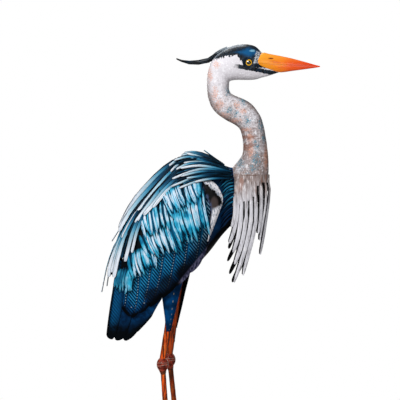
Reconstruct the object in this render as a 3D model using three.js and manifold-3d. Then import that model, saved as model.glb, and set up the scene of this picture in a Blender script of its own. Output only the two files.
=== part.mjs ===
// A standing heron in painted sheet metal on an oval steel base plate.
// Millimetres, +Z up, the beak towards +X. The origin is the centre of the base plate's underside.
// The left of the bird is +Y. Wings, feather groups, legs, feet and eyes are made once for each side.
import * as THREE from "three";
import { mergeVertices } from "three/addons/utils/BufferGeometryUtils.js";
import Module from "manifold-3d";

const wasm = await Module();
wasm.setup();

// Driving sizes
const gap = 0.35; // air between pieces that touch
const rib = 2.4; // height of a feather strip at its middle rib
const plate = { length: 330, width: 240, thickness: 10, bevel: 2.5 };
const shoulder = { x: 135, z: 705 }; // where the back of the neck meets the body
const bodyPitch = THREE.MathUtils.degToRad(54); // how far the body's axis falls towards the tail
const seamHeight = 692; // where the neck piece ends and the bib begins
const legSpread = 28; // from the middle plane to each leg
const shankRadius = 6.4;
const upperLegRadius = 7.2;
const kneeRadius = 14.2;
const eye = { x: 181, z: 971, radius: 8.6, out: 25.6, depth: 12 };
const hubRadius = 9.5; // the ankle that the toes spring from
const toes = [ // outward turn from straight ahead, in radians, and length
  { turn: 0.58, reach: 84 },
  { turn: 0.13, reach: 98 },
  { turn: -0.28, reach: 82 },
  { turn: Math.PI, reach: 50 },
];
const thighWall = 2;
const foldDepth = 2.5; // how thick the tail sheet is where it folds round the back
const wingLift = 0.7; // how far the flight feathers stand off the coat at the front of the wing
const covertLift = 6.9;
const patchLift = 6.4;
const strapWidth = 8;
const keelWidth = 24;
const smallest = { step: 0.12, volume: 1 }; // finer steps and crumbs are taken off each solid
const sides = [
  { name: "left", sign: 1 },
  { name: "right", sign: -1 },
];

// Side-view places of each leg; the left one stands a little ahead
const legs = {
  left: { hip: [18, 452], knee: [-16.5, 227], foot: [5, 22] },
  right: { hip: [7, 452], knee: [-32.5, 223], foot: [-19, 22] },
};

// Profiles along the body's axis: [distance from the shoulder, value]
const backLine = through([
  [-16, -8], [-9, 8], [0, 32], [10, 66], [31, 98], [58, 108], [89, 111], [125, 115],
  [186, 117], [233, 113], [280, 102], [330, 85], [380, 60], [430, 30],
]);
const bellyLine = through([
  [-16, -16], [-9, -32], [14, -64], [46, -84], [77, -88], [101, -85], [140, -80],
  [200, -78], [250, -71], [300, -60], [350, -47], [400, -33], [430, -22],
]);
const bodyHalfWidth = through([
  [-16, 6], [-9, 26], [0, 38], [14, 48], [37, 56], [68, 64], [110, 70], [160, 73],
  [220, 70], [280, 60], [340, 46], [400, 31], [430, 22],
]);
// The feather coat is a slightly wider surface that wings, plumes and tail follow.
const coatBack = through([
  [-16, 40], [10, 92], [31, 112], [89, 122], [186, 131], [264, 136], [311, 124],
  [375, 103], [432, 72], [492, 48], [530, 34],
]);
const coatBelly = through([
  [-16, -60], [46, -112], [101, -114], [200, -110], [300, -100], [364, -92],
  [421, -88], [478, -84], [530, -76],
]);
const coatHalfWidth = through([
  [-16, 34], [0, 44], [14, 53], [37, 61], [68, 69], [110, 76.5], [160, 80.5],
  [220, 78], [280, 69], [340, 56], [400, 42], [440, 33], [490, 24], [530, 19],
]);

// A smooth line through given pairs, read at any distance.
function through(pairs) {
  const last = pairs.length - 1;
  const slope = (k) => {
    const [a, b] = [pairs[Math.max(k - 1, 0)], pairs[Math.min(k + 1, last)]];
    return (b[1] - a[1]) / (b[0] - a[0]);
  };
  return (at) => {
    if (at <= pairs[0][0]) return pairs[0][1];
    if (at >= pairs[last][0]) return pairs[last][1];
    let i = 0;
    while (pairs[i + 1][0] < at) i += 1;
    const [[x0, y0], [x1, y1]] = [pairs[i], pairs[i + 1]];
    const w = x1 - x0;
    const t = (at - x0) / w;
    const s = 1 - t;
    return (
      y0 * s * s * (1 + 2 * t) +
      y1 * t * t * (3 - 2 * t) +
      w * t * s * (slope(i) * s - slope(i + 1) * t)
    );
  };
}

const vec = (x, y, z) => new THREE.Vector3(x, y, z);
const mix = THREE.MathUtils.lerp;
const steps = (count) => Array.from({ length: count + 1 }, (_, i) => i / count);
const line = (points) => new THREE.SplineCurve(points.map(([x, z]) => new THREE.Vector2(x, z)));

// Solids

function solidFrom(geometry) {
  const bare = geometry.clone();
  bare.deleteAttribute("normal");
  bare.deleteAttribute("uv");
  const merged = mergeVertices(bare, 1e-3);
  return new wasm.Manifold(
    new wasm.Mesh({
      numProp: 3,
      vertProperties: merged.attributes.position.array,
      triVerts: new Uint32Array(merged.index.array),
    }),
  );
}

function geometryFrom(solid) {
  const { vertProperties, triVerts } = solid.getMesh();
  const geometry = new THREE.BufferGeometry();
  geometry.setAttribute("position", new THREE.BufferAttribute(vertProperties, 3));
  geometry.setIndex(new THREE.BufferAttribute(triVerts, 1));
  geometry.computeVertexNormals();
  return geometry;
}

// A solid from corner points and the triangles of its closed skin, turned to face outwards.
function closedSolid(points, triangles) {
  const faces = triangles.flat();
  let volume = 0;
  for (let i = 0; i < faces.length; i += 3) {
    const [a, b, c] = [points[faces[i]], points[faces[i + 1]], points[faces[i + 2]]];
    volume += a.dot(b.clone().cross(c));
  }
  if (volume < 0) {
    for (let i = 0; i < faces.length; i += 3) {
      [faces[i], faces[i + 1]] = [faces[i + 1], faces[i]];
    }
  }
  const geometry = new THREE.BufferGeometry();
  geometry.setAttribute(
    "position",
    new THREE.Float32BufferAttribute(points.flatMap((p) => [p.x, p.y, p.z]), 3),
  );
  geometry.setIndex(faces);
  return solidFrom(geometry);
}

const joined = (solids) => solids.reduce((all, one) => all.add(one));
const cut = (solid, ...rooms) => rooms.reduce((rest, room) => rest.subtract(room), solid);

// Skin over rings of equal length, closed by a point at the middle of each end.
function loft(rings) {
  const size = rings[0].length;
  const points = rings.flat();
  const triangles = [];
  for (let i = 0; i + 1 < rings.length; i += 1) {
    for (let j = 0; j < size; j += 1) {
      const [a, b] = [i * size + j, i * size + ((j + 1) % size)];
      triangles.push([a, b, b + size], [a, b + size, a + size]);
    }
  }
  for (const [first, turned] of [[0, true], [(rings.length - 1) * size, false]]) {
    const middle = points.length;
    const ring = points.slice(first, first + size);
    points.push(ring.reduce((sum, p) => sum.add(p), vec(0, 0, 0)).divideScalar(size));
    for (let j = 0; j < size; j += 1) {
      const [a, b] = [first + j, first + ((j + 1) % size)];
      triangles.push(turned ? [middle, b, a] : [middle, a, b]);
    }
  }
  return closedSolid(points, triangles);
}

// A thin sheet between two equal grids of points, given row by row.
function sheetBetween(top, bottom, columns) {
  const rows = top.length / columns;
  const below = top.length;
  const triangles = [];
  for (let i = 0; i + 1 < rows; i += 1) {
    for (let j = 0; j + 1 < columns; j += 1) {
      const a = i * columns + j;
      const [b, c, d] = [a + 1, a + columns, a + columns + 1];
      triangles.push([a, b, d], [a, d, c]);
      triangles.push([below + a, below + d, below + b], [below + a, below + c, below + d]);
    }
  }
  const rim = [];
  for (let j = 0; j < columns - 1; j += 1) rim.push(j);
  for (let i = 0; i < rows - 1; i += 1) rim.push(i * columns + columns - 1);
  for (let j = columns - 1; j > 0; j -= 1) rim.push((rows - 1) * columns + j);
  for (let i = rows - 1; i > 0; i -= 1) rim.push(i * columns);
  rim.forEach((a, i) => {
    const b = rim[(i + 1) % rim.length];
    triangles.push([a, below + a, below + b], [a, below + b, b]);
  });
  return closedSolid([...top, ...bottom], triangles);
}

// An oval ring: `up` and `out` are its half axes, and a higher power makes it squarer.
function oval(centre, up, out, count, power = 2) {
  const bend = (v) => Math.sign(v) * Math.abs(v) ** (2 / power);
  return steps(count).slice(0, count).map((t) => {
    const angle = 2 * Math.PI * t;
    return centre.clone()
      .addScaledVector(up, bend(Math.cos(angle)))
      .addScaledVector(out, bend(Math.sin(angle)));
  });
}

// Oval rings along a path in the middle plane: [x, z, radius in plane, radius across].
function tubeRings(stations, count, grow) {
  return stations.map(([x, z, inPlane, across], i) => {
    const before = stations[Math.max(i - 1, 0)];
    const after = stations[Math.min(i + 1, stations.length - 1)];
    const ahead = vec(after[0] - before[0], 0, after[1] - before[1]).normalize();
    const up = vec(-ahead.z, 0, ahead.x).multiplyScalar(inPlane + grow);
    return oval(vec(x, 0, z), up, vec(0, across + grow, 0), count);
  });
}

// Upright oval rings along X: [x, top, bottom, half width].
function facingRings(list, count, power, grow) {
  return list.map(([x, top, bottom, half], i) => {
    const up = vec(0, 0, (top - bottom) / 2 + grow);
    return oval(vec(i ? x : x - grow, 0, (top + bottom) / 2), up, vec(0, half + grow, 0), count, power);
  });
}

// A straight rod between two points.
function rod(a, b, radius, count = 8) {
  const way = b.clone().sub(a);
  const made = new THREE.CylinderGeometry(radius, radius, way.length(), count);
  made.applyQuaternion(new THREE.Quaternion().setFromUnitVectors(vec(0, 1, 0), way.clone().normalize()));
  made.translate(...a.clone().add(b).divideScalar(2).toArray());
  return solidFrom(made);
}

function ball(centre, radius, stretch, columns, rows) {
  const made = new THREE.SphereGeometry(radius, columns, rows);
  made.rotateX(Math.PI / 2);
  made.scale(1, 1, stretch);
  made.translate(...centre.toArray());
  return solidFrom(made);
}

// Feather strips

const ribbed = [[-0.5, 0], [0, 1], [0.5, 0]]; // section with a raised middle rib: [share of width, of height]
const flat = [[-0.5, 0], [-0.5, 1], [0.5, 1], [0.5, 0]];
const blade = through([[0, 0.5], [0.15, 0.82], [0.4, 1], [0.8, 0.92], [0.94, 0.62], [1, 0.25]]);
const even = () => 1;

// A strip along `where(t)`, which gives a point of its underside and the way it faces there.
function strip(where, { width, height = rib, segments = 5, section = ribbed, taper = blade }) {
  const rings = steps(segments).map((t) => {
    const { point, normal } = where(t);
    const ahead = where(Math.min(t + 0.02, 1)).point.sub(where(Math.max(t - 0.02, 0)).point);
    const aside = ahead.cross(normal).normalize();
    return section.map(([share, raised]) =>
      point.clone().addScaledVector(aside, share * width * taper(t)).addScaledVector(normal, raised * height),
    );
  });
  return loft(rings);
}

// The body's frame: along runs from the shoulder to the tail, across runs towards the back

const along = vec(-Math.cos(bodyPitch), 0, -Math.sin(bodyPitch));
const across = vec(-Math.sin(bodyPitch), 0, Math.cos(bodyPitch));

function bodyPlace(x, z) {
  const from = vec(x - shoulder.x, 0, z - shoulder.z);
  return [from.dot(along), from.dot(across)];
}

function worldPlace(u, v) {
  return vec(shoulder.x, 0, shoulder.z).addScaledVector(along, u).addScaledVector(across, v);
}

// Half width of the coat, which eases to a small depth outside its outline.
function coatDepth(u, v) {
  const middle = (coatBack(u) + coatBelly(u)) / 2;
  const half = (coatBack(u) - coatBelly(u)) / 2;
  const room = 1 - ((v - middle) / half) ** 2;
  return coatHalfWidth(u) * Math.sqrt((room + Math.sqrt(room * room + 0.03)) / 2);
}

// A point that stands off the coat sideways, at a side-view place, and the way the coat faces there.
function onCoat(x, z, sign, lift) {
  const [u, v] = bodyPlace(x, z);
  const depth = coatDepth(u, v);
  const normal = vec(0, sign, 0)
    .addScaledVector(along, depth - coatDepth(u + 1, v))
    .addScaledVector(across, depth - coatDepth(u, v + 1))
    .normalize();
  return { point: vec(x, sign * (depth + lift), z), normal };
}

// A sheet over a grid of places {x, z, inner, outer, fold}: how far its two faces stand off the coat,
// and how far ahead its inner face lies where the sheet folds round the back.
function coatSheet(grid) {
  const outer = grid.flat().map((p) => onCoat(p.x, p.z, p.sign, p.outer).point);
  const inner = grid.flat().map((p) => onCoat(p.x + (p.fold ?? 0), p.z, p.sign, p.inner).point);
  return sheetBetween(outer, inner, grid[0].length);
}

// A feather strip on the coat, its stand-off easing from root to tip, turned to show its face sideways.
function coatStrip(points, sign, lift, form) {
  const path = line(points);
  const where = (t) => {
    const { x, y: z } = path.getPoint(t);
    const { point, normal } = onCoat(x, z, sign, mix(lift[0], lift[1], t));
    return { point, normal: normal.lerp(vec(0, sign, 0), 0.5).normalize() };
  };
  return strip(where, form);
}

// Body

const bodyStations = [-16, -9, 0, 14, 36, 66, 104, 150, 200, 250, 300, 345, 390, 430];

function bodySolid(grow) {
  return loft(
    bodyStations.map((u, i) => {
      const [back, belly] = [backLine(u), bellyLine(u)];
      const end = i === 0 ? -grow : i === bodyStations.length - 1 ? grow : 0;
      const up = across.clone().multiplyScalar((back - belly) / 2 + grow);
      const out = vec(0, bodyHalfWidth(u) + grow, 0);
      return oval(worldPlace(u + end, (back + belly) / 2), up, out, 16);
    }),
  );
}

// Neck and head, one formed piece

const neckStations = [
  [106, 950, 27, 24], [105, 925, 28, 26], [105.5, 903, 27.5, 27], [112, 882, 29.5, 28],
  [126, 867, 31.5, 29], [145, 856.5, 33, 30], [165, 846, 33.5, 30], [181, 830, 31.5, 29.5],
  [190.5, 808, 29.5, 29], [196.5, 776, 29.5, 29.5], [197.7, 740, 33, 31.5],
  [193, 716, 40.5, 36], [184.5, seamHeight - 2, 49.5, 43],
];
// Sections of the head and the beak: [x, top, bottom, half width]
const headSections = [
  [80, 955, 926, 13], [88, 975, 922, 20.5], [98, 991, 920, 24.5], [112, 1002, 921, 27],
  [128, 1011, 926, 28.5], [148, 1017.5, 930, 29], [170, 1019.5, 930, 27], [187, 1018, 930, 24],
  [201, 1012.5, 931.5, 19.5], [214, 999, 935.5, 14], [228, 983, 939, 10.5], [260, 953, 949.5, 3],
];
const beakSections = [
  [197, 981, 961, 18.5], [206, 990, 958, 18], [216, 998.5, 955, 16.5], [235, 995, 952, 14],
  [262, 990, 949, 10.5], [290, 984, 952.5, 7], [320, 976, 956.5, 4.2], [348, 968, 960.5, 1.8],
  [360, 965, 962.5, 0.7],
];
const beakSolid = (grow) => loft(facingRings(beakSections, 12, 2.4, grow));

function headSolid(grow) {
  const neck = loft(tubeRings(neckStations, 12, grow)).trimByPlane([0, 0, 1], seamHeight - grow);
  return neck.add(loft(facingRings(headSections, 12, 2, grow)));
}

// An eye is a short disc whose back is sunk in the head.
function eyeSolid(sign, grow) {
  const made = new THREE.CylinderGeometry(eye.radius + grow, eye.radius + grow, eye.depth + 2 * grow, 12);
  made.translate(eye.x, sign * (eye.out - eye.depth / 2), eye.z);
  return solidFrom(made);
}

// The crest: two narrow ribbons that trail from the back of the cap.
const crestPath = line([[122, 1003], [104, 995], [88, 981], [65, 974.5], [42, 972], [20, 975], [1, 982]]);
const crestTaper = through([[0, 0.9], [0.3, 1], [0.55, 0.6], [0.8, 0.35], [1, 0.12]]);

function crestSolid() {
  const ribbons = sides.map(({ sign }) => {
    const where = (t) => {
      const { x, y: z } = crestPath.getPoint(t);
      return { point: vec(x, sign * mix(1.5, 5, t), z), normal: vec(0, sign, 0) };
    };
    return strip(where, { width: 13, height: 3, segments: 8, section: flat, taper: crestTaper });
  });
  return joined([...ribbons, rod(vec(116, 0, 998), vec(86, 0, 980), 4, 8)]);
}

// The bib and the chest plumes hang on one flared skirt: its rear, front and half width by height
const skirtRear = through([[420, 128], [500, 118], [560, 112], [620, 100], [664, 112], [692, 134]]);
const skirtFront = through([
  [420, 164], [445, 180], [497, 210], [536, 219], [573, 225], [613, 230], [647, 233.5], [692, 234],
]);
const skirtHalf = through([[420, 17], [460, 26], [500, 34], [550, 44], [600, 52], [645, 55], [692, 43.5]]);
const bibHem = { front: [236, 667], rear: [146, 598] }; // the slanting lower edge

function bibSolid() {
  const skirt = loft(
    [seamHeight, 680, 664, 645, 622, 594].map((z, i) => {
      const [rear, front] = [skirtRear(z), skirtFront(z)];
      const centre = vec((rear + front) / 2, 0, i ? z : z - gap);
      return oval(centre, vec((front - rear) / 2, 0, 0), vec(0, skirtHalf(z), 0), 20);
    }),
  );
  const [front, rear] = [bibHem.front, bibHem.rear];
  const normal = vec(-(front[1] - rear[1]) / (front[0] - rear[0]), 0, 1).normalize();
  return skirt.trimByPlane(normal.toArray(), normal.dot(vec(front[0], 0, front[1])));
}

function onSkirt(x, z, sign, stand) {
  const spread = (px, pz) => {
    const [rear, front] = [skirtRear(pz), skirtFront(pz)];
    const share = (px - (rear + front) / 2) / ((front - rear) / 2);
    const room = 1 - share * share;
    return skirtHalf(pz) * Math.sqrt((room + Math.sqrt(room * room + 0.004)) / 2);
  };
  const depth = spread(x, z);
  const normal = vec(depth - spread(x + 1, z), sign, depth - spread(x, z + 1)).normalize();
  return { point: vec(x, sign * depth, z).addScaledVector(normal, stand), normal };
}

// Side-view paths of the chest plumes from front to rear
const chestPlumes = [
  { width: 10, path: [[229, 678], [228.5, 647], [223, 613], [218, 573], [213, 536], [205, 497]] },
  { width: 9, path: [[218, 682], [219, 642], [217, 610], [212, 576], [205, 531]] },
  { width: 9, path: [[206, 684], [209, 642], [209, 613], [206, 581], [201, 548]] },
  { width: 10, path: [[193, 679], [195, 630], [197, 600], [195, 568], [187, 531], [176, 487], [165, 445]] },
  { width: 10, path: [[182, 670], [184, 618], [184, 576], [177, 536], [166, 492], [145, 427]] },
  { width: 10, path: [[171, 660], [173, 610], [171, 568], [165, 531], [156, 499], [147, 472]] },
  { width: 10, path: [[160, 652], [161, 605], [159, 568], [154, 536], [144, 502]] },
  { width: 9, path: [[151, 640], [152, 610], [150, 581], [144, 551], [135, 524]] },
];
// The inner plumes hang inside the outer ones and sweep further back.
const innerPlumes = [
  { width: 8, path: [[156, 600], [152, 572], [141, 539], [129, 509]] },
  { width: 8, path: [[169, 596], [156, 529], [141, 504], [126, 478]] },
  { width: 8, path: [[181, 592], [166, 517], [151, 483], [131, 446]] },
  { width: 8, path: [[192, 590], [174, 495], [159, 461], [139, 425]] },
];

function chestSolid(sign) {
  const hang = (path, stand, form) => {
    const curve = line(path);
    const where = (t) => {
      const { x, y: z } = curve.getPoint(t);
      return onSkirt(x, z, sign, mix(stand[0], stand[1], t));
    };
    return strip(where, form);
  };
  const outer = chestPlumes.map(({ path, width }, i) =>
    hang(path, i % 2 ? [4.6, 1.4] : [7.4, 5], { width, segments: 4 }),
  );
  const inner = innerPlumes.map(({ path, width }) => hang(path, [-3, -5], { width, segments: 3 }));
  // Straps under the roots carry the plumes.
  const upperStrap = hang([[230, 655], [149, 590]], [3.2, 2.4], {
    width: strapWidth, height: 5, segments: 5, section: flat, taper: even,
  });
  const lowerStrap = hang([[197, 576], [148, 584]], [-3.4, -3.4], {
    width: strapWidth, height: 9, segments: 2, section: flat, taper: even,
  });
  return joined([...outer, ...inner, upperStrap, lowerStrap]).trimByPlane([0, sign, 0], gap);
}

// Wings: the lines run from the front of the wing to its rear in side view

const wingRoot = line([
  [111, 632], [89, 662], [60, 676], [26, 669], [-8, 654], [-42, 630], [-74, 598], [-106, 555], [-130, 508],
]);
const wingMiddle = line([
  [99, 576], [80, 562], [53, 549], [21, 525], [-8, 508], [-38, 491], [-69, 459], [-99, 422], [-126, 415],
]);
const wingTip = line([
  [77, 529], [65, 480], [35, 446], [1, 414], [-38, 382], [-68, 362], [-93, 347], [-112, 340], [-134, 362],
]);
const flightFeathers = 8;
// How much further the wing stands off the coat over the root of the tail.
const wingRise = (x, z) => 6 * THREE.MathUtils.smoothstep(bodyPlace(x, z)[0], 120, 320);

// Long flight feathers in one sheet, each a step above the one behind it, round at the tip.
function flightSolid(sign) {
  const grid = [0, 0.45, 0.92, 1].map((down) => {
    const row = [];
    for (let f = 0; f < flightFeathers; f += 1) {
      for (const side of [0.02, 0.5, 0.98]) {
        const s = (f + side) / flightFeathers;
        const [root, middle, tip] = [wingRoot, wingMiddle, wingTip].map((c) => c.getPoint(s));
        const roundTip = down === 1 ? 0.06 * Math.abs(side - 0.5) * 2 : 0;
        const reach = down - roundTip;
        const [a, b, c] = [(1 - reach) * (1 - 2 * reach), 4 * reach * (1 - reach), reach * (2 * reach - 1)];
        const x = a * root.x + b * middle.x + c * tip.x;
        const z = a * root.y + b * middle.y + c * tip.y;
        const inner = wingLift + wingRise(x, z);
        row.push({ x, z, sign, inner, outer: inner + 2.8 + 1.6 * (1 - side) * Math.min(1, 3 * down) });
      }
    }
    return row;
  });
  return coatSheet(grid);
}

// Coverts: two rows of narrow feathers in one sheet, the upper row's toothed edge a step above the lower
const covertRoot = line([
  [64, 674], [42, 669], [18, 663], [-6, 653], [-34, 634], [-63, 605], [-89, 571], [-111, 531], [-133, 476],
]);
const covertUpper = line([
  [60, 640], [42, 618], [22, 598], [-4, 586], [-26, 564], [-54, 546], [-78, 525], [-102, 482], [-128, 446],
]);
const covertLower = line([
  [76, 553], [54, 535], [32, 526], [10, 513], [-18, 492], [-44, 475], [-70, 449], [-98, 423], [-142, 402],
]);
const covertCount = 14;

function covertSolid(sign) {
  const columns = steps(2 * covertCount);
  const notch = (j, from, to, share) => (j % 2 ? to : mix(from, to, share));
  const place = (a, b, reach, lifts) => {
    const x = mix(a.x, b.x, reach);
    const z = mix(a.y, b.y, reach);
    const base = covertLift + wingRise(x, z);
    return { x, z, sign, inner: base, outer: base + lifts };
  };
  const row = (make) =>
    columns.map((s, j) => make(covertRoot.getPoint(s), covertUpper.getPoint(s), covertLower.getPoint(s), j));
  return coatSheet([
    row((root, upper) => place(root, upper, 0, 2.2)),
    row((root, upper, lower, j) => place(root, upper, notch(j, 0, 1, 0.76), j % 2 ? 4.6 : 3.8)),
    row((root, upper, lower, j) => place(root, upper, notch(j, 0, 1, 0.76) + 0.02, 1.8)),
    row((root, upper, lower) => place(upper, lower, 0.55, 3)),
    row((root, upper, lower, j) => place(upper, lower, notch(j, 0, 1, 0.8), j % 2 ? 4 : 3)),
  ]);
}

// The shoulder patch, a long curved plate ahead of the coverts.
const patchFront = line([[66, 681], [91, 675], [108, 656], [116, 629], [107, 600], [93, 562], [80, 529]]);
const patchRear = line([[67, 674], [66, 655], [77, 634], [84, 612], [83, 588], [81, 562], [78, 530]]);

function patchSolid(sign) {
  const grid = [0, 0.5, 1].map((down) =>
    steps(7).map((s) => {
      const [a, b] = [patchRear.getPoint(s), patchFront.getPoint(s)];
      const outer = patchLift + (down === 0.5 ? 3.6 : 2);
      return { x: mix(a.x, b.x, down), z: mix(a.y, b.y, down), sign, inner: patchLift, outer };
    }),
  );
  return coatSheet(grid);
}

// Plumes in side view: width, stand-off at root and tip, and path
const shoulderPlumes = [
  { width: 10, lift: [9, 12], path: [[127, 709], [94, 723], [62, 735], [28, 745]] },
  { width: 10, lift: [12, 15], path: [[129, 706], [94, 719], [55, 730], [11, 735]] },
  { width: 10, lift: [9, 14], path: [[131, 703], [94, 715], [62, 723], [21, 721]] },
  { width: 9, lift: [12, 18], path: [[132, 700], [94, 709], [55, 714], [13, 708]] },
  { width: 11, lift: [9, 17], path: [[133, 697], [97, 704], [53, 704], [-7, 682]] },
  { width: 8, lift: [12, 22], path: [[134, 694], [97, 699], [60, 699], [14, 688]] },
  { width: 9, lift: [9, 18], path: [[135, 691], [99, 694], [55, 688], [-10, 663]] },
  { width: 8, lift: [12, 22], path: [[135, 688], [102, 690], [70, 689], [28, 683]] },
  { width: 9, lift: [9, 17], path: [[135, 685], [104, 686], [65, 680], [9, 659]] },
];
const backPlumes = [
  { width: 15, lift: [6, 13], path: [[6, 728], [-18, 706], [-45, 679], [-85, 635], [-134, 573]] },
  { width: 12, lift: [9, 17], path: [[11, 718], [-14, 696], [-43, 664], [-99, 593], [-131, 537]] },
  { width: 12, lift: [6, 17], path: [[16, 708], [-9, 686], [-38, 654], [-62, 623], [-98, 575]] },
  { width: 12, lift: [9, 21], path: [[21, 699], [-4, 677], [-31, 650], [-58, 615], [-77, 594]] },
  { width: 10, lift: [6, 18], path: [[26, 689], [1, 669], [-23, 650], [-54, 612]] },
  { width: 13, lift: [17, 22], path: [[-104, 585], [-124, 542], [-141, 495], [-151, 440]] },
  { width: 11, lift: [15, 19], path: [[-94, 590], [-109, 542], [-123, 480]] },
  { width: 8, lift: [17, 22], path: [[-85, 592], [-97, 549], [-106, 502]] },
  { width: 11, lift: [14, 17], path: [[-113, 580], [-138, 532], [-158, 483], [-165, 441]] },
];
// Straps under the plumes: stand-off and path
const shoulderStraps = [{ lift: 9.6, path: [[108, 717], [112, 700], [112, 685]] }];
const backStraps = [
  { lift: 7.4, path: [[-8, 715], [-4, 700], [0, 684], [6, 673]] },
  { lift: 14.4, path: [[-124, 566], [-108, 572], [-92, 572]] },
];

function plumeSolid(plumes, straps, sign) {
  const feathers = plumes.map(({ path, width, lift }) =>
    coatStrip(path, sign, lift, { width, segments: path.length - (path.length > 4 ? 1 : 0) }),
  );
  const carriers = straps.map(({ path, lift }) =>
    coatStrip(path, sign, [lift, lift], {
      width: strapWidth, height: 4.6, segments: 2, section: flat, taper: even,
    }),
  );
  return joined([...feathers, ...carriers]);
}

// The ridge: a keel strip along the back with narrow plumes that rise from it.
// Each plume gives where it leaves the keel, its side step at root and tip, width and path.
const ridgePlumes = [
  { from: 9, y: [-8, -14], width: 10, path: [[94, 737], [72, 752]] },
  { from: 11, y: [7, 13], width: 11, path: [[88, 731], [58, 742], [30, 747]] },
  { from: 30, y: [-5, -9], width: 12, path: [[40, 741], [8, 735], [-20, 713]] },
  { from: 70, y: [6, 11], width: 11, path: [[-25, 707], [-56, 680], [-103, 639]] },
  { from: 100, y: [-7, -11], width: 12, path: [[-46, 681], [-78, 650], [-108, 612]] },
  { from: 150, y: [2, 2], width: 13, path: [[-86, 636], [-110, 605], [-132, 566]] },
  { from: 190, y: [6, 10], width: 10, path: [[-106, 607], [-131, 571], [-160, 526]] },
  { from: 225, y: [-6, -9], width: 12, path: [[-124, 574], [-150, 517], [-164, 470]] },
  { from: 255, y: [6, 7], width: 9, path: [[-136, 546], [-159, 492], [-172, 414]] },
  { from: 268, y: [-4, -4], width: 8, path: [[-142, 535], [-168, 475], [-184, 400]] },
];
const keelPoint = (u, rise) => worldPlace(u, backLine(u) + rise);

function ridgeStrip(path, y, form) {
  const curve = line(path);
  const where = (t) => {
    const at = curve.getPoint(t);
    const ahead = curve.getTangent(Math.min(t, 0.999));
    return { point: vec(at.x, mix(y[0], y[1], t), at.y), normal: vec(ahead.y, 0, -ahead.x) };
  };
  return strip(where, form);
}

function ridgeSolid() {
  const keel = [5, 20, 45, 80, 130, 185, 235, 285].map((u) => {
    const { x, z } = keelPoint(u, -1);
    return [x, z];
  });
  const feathers = ridgePlumes.map(({ from, y, width, path }) => {
    const root = keelPoint(from, 0.8);
    return ridgeStrip([[root.x, root.z], ...path], y, { width, segments: 4 });
  });
  const spine = ridgeStrip(keel, [0, 0], {
    width: keelWidth, height: 4, segments: 7, section: flat, taper: even,
  });
  return joined([spine, ...feathers]);
}

// Tail: one folded sheet of blades, the left side front to rear and then the right side back again
const tailRoot = line([[-34, 388], [-62, 414], [-92, 440], [-120, 466], [-143, 486]]);
const tailMiddle = line([[-50, 362], [-80, 350], [-108, 353], [-136, 360], [-163, 368]]);
const tailTip = line([
  [-62, 338], [-84, 314], [-102, 294], [-124, 280], [-142, 281], [-152, 283], [-160, 284], [-173, 288],
]);
const tailBlades = 4;

function tailSolid() {
  const grid = [0, 0.5, 0.93, 1].map((down) => {
    const half = (sign) => {
      const row = [];
      for (let f = 0; f < tailBlades; f += 1) {
        for (const side of [0.02, 0.5, 0.98]) {
          const s = (f + side) / tailBlades;
          const [root, middle, tip] = [tailRoot, tailMiddle, tailTip].map((c) => c.getPoint(s));
          const reach = down - (down === 1 ? 0.12 * Math.abs(side - 0.5) * 2 : 0);
          const [a, b, c] = [(1 - reach) * (1 - 2 * reach), 4 * reach * (1 - reach), reach * (2 * reach - 1)];
          const x = a * root.x + b * middle.x + c * tip.x;
          const z = a * root.y + b * middle.y + c * tip.y;
          row.push({ x, z, sign, inner: 0, outer: 2 + (1 - side) });
        }
      }
      row.at(-1).fold = foldDepth;
      return row;
    };
    return [...half(1), ...half(-1).reverse()];
  });
  return coatSheet(grid);
}

// Legs and feet

function thighSolid(at, sign) {
  // Height, middle, half width and bulge of a half cone of sheet, open towards the other leg.
  const levels = [
    [0, -1, 7, 11.4], [27, 2, 10.5, 11.8], [54, 3.6, 15.5, 12.4],
    [95, 5.4, 23, 13], [128, 7, 30, 13.4], [165, 9, 36, 13.4],
  ];
  const arc = steps(5).map((t) => Math.PI * t);
  const foot = at.knee.clone().lerp(at.hip, 0.36);
  const face = (inset) =>
    levels.flatMap(([rise, forward, half, bulge]) =>
      arc.map((angle) =>
        vec(
          foot.x + forward - (half - inset) * Math.cos(angle),
          sign * (legSpread - 1 + (bulge - inset) * Math.sin(angle)),
          foot.z + rise,
        ),
      ),
    );
  return sheetBetween(face(0), face(thighWall), arc.length);
}

// Three toes ahead and one behind, resting on the plate.
function footSolid(at, sign, grow) {
  const floor = plate.thickness + gap;
  const hub = vec(at.foot.x, at.foot.y, floor + hubRadius + 1.5);
  const sections = [[0, 10, 5.5], [0.4, 6.3, 6.3], [1, 2.4, 2.4]]; // share of the length, height, half width
  const toe = ({ turn, reach }) => {
    const way = vec(Math.cos(turn), sign * Math.sin(turn), 0);
    const aside = vec(-way.y, way.x, 0);
    return loft(
      sections.map(([share, height, half]) => {
        const centre = hub.clone().addScaledVector(way, reach * share).setZ(floor + height);
        const up = vec(0, 0, Math.min(half, height) + grow);
        return oval(centre, up, aside.clone().multiplyScalar(half + grow), 6);
      }),
    );
  };
  return joined([ball(hub, hubRadius + grow, 1.05, 8, 5), ...toes.map(toe)]);
}

function baseSolid() {
  const { length, width, thickness, bevel } = plate;
  const outline = new THREE.Shape();
  outline.absellipse(0, 0, length / 2 - bevel, width / 2 - bevel, 0, 2 * Math.PI);
  const made = new THREE.ExtrudeGeometry(outline, {
    depth: thickness - 2 * bevel,
    bevelSize: bevel,
    bevelThickness: bevel,
    bevelSegments: 1,
    curveSegments: 12,
  });
  made.translate(0, 0, bevel);
  return solidFrom(made);
}

// Finishes

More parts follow.
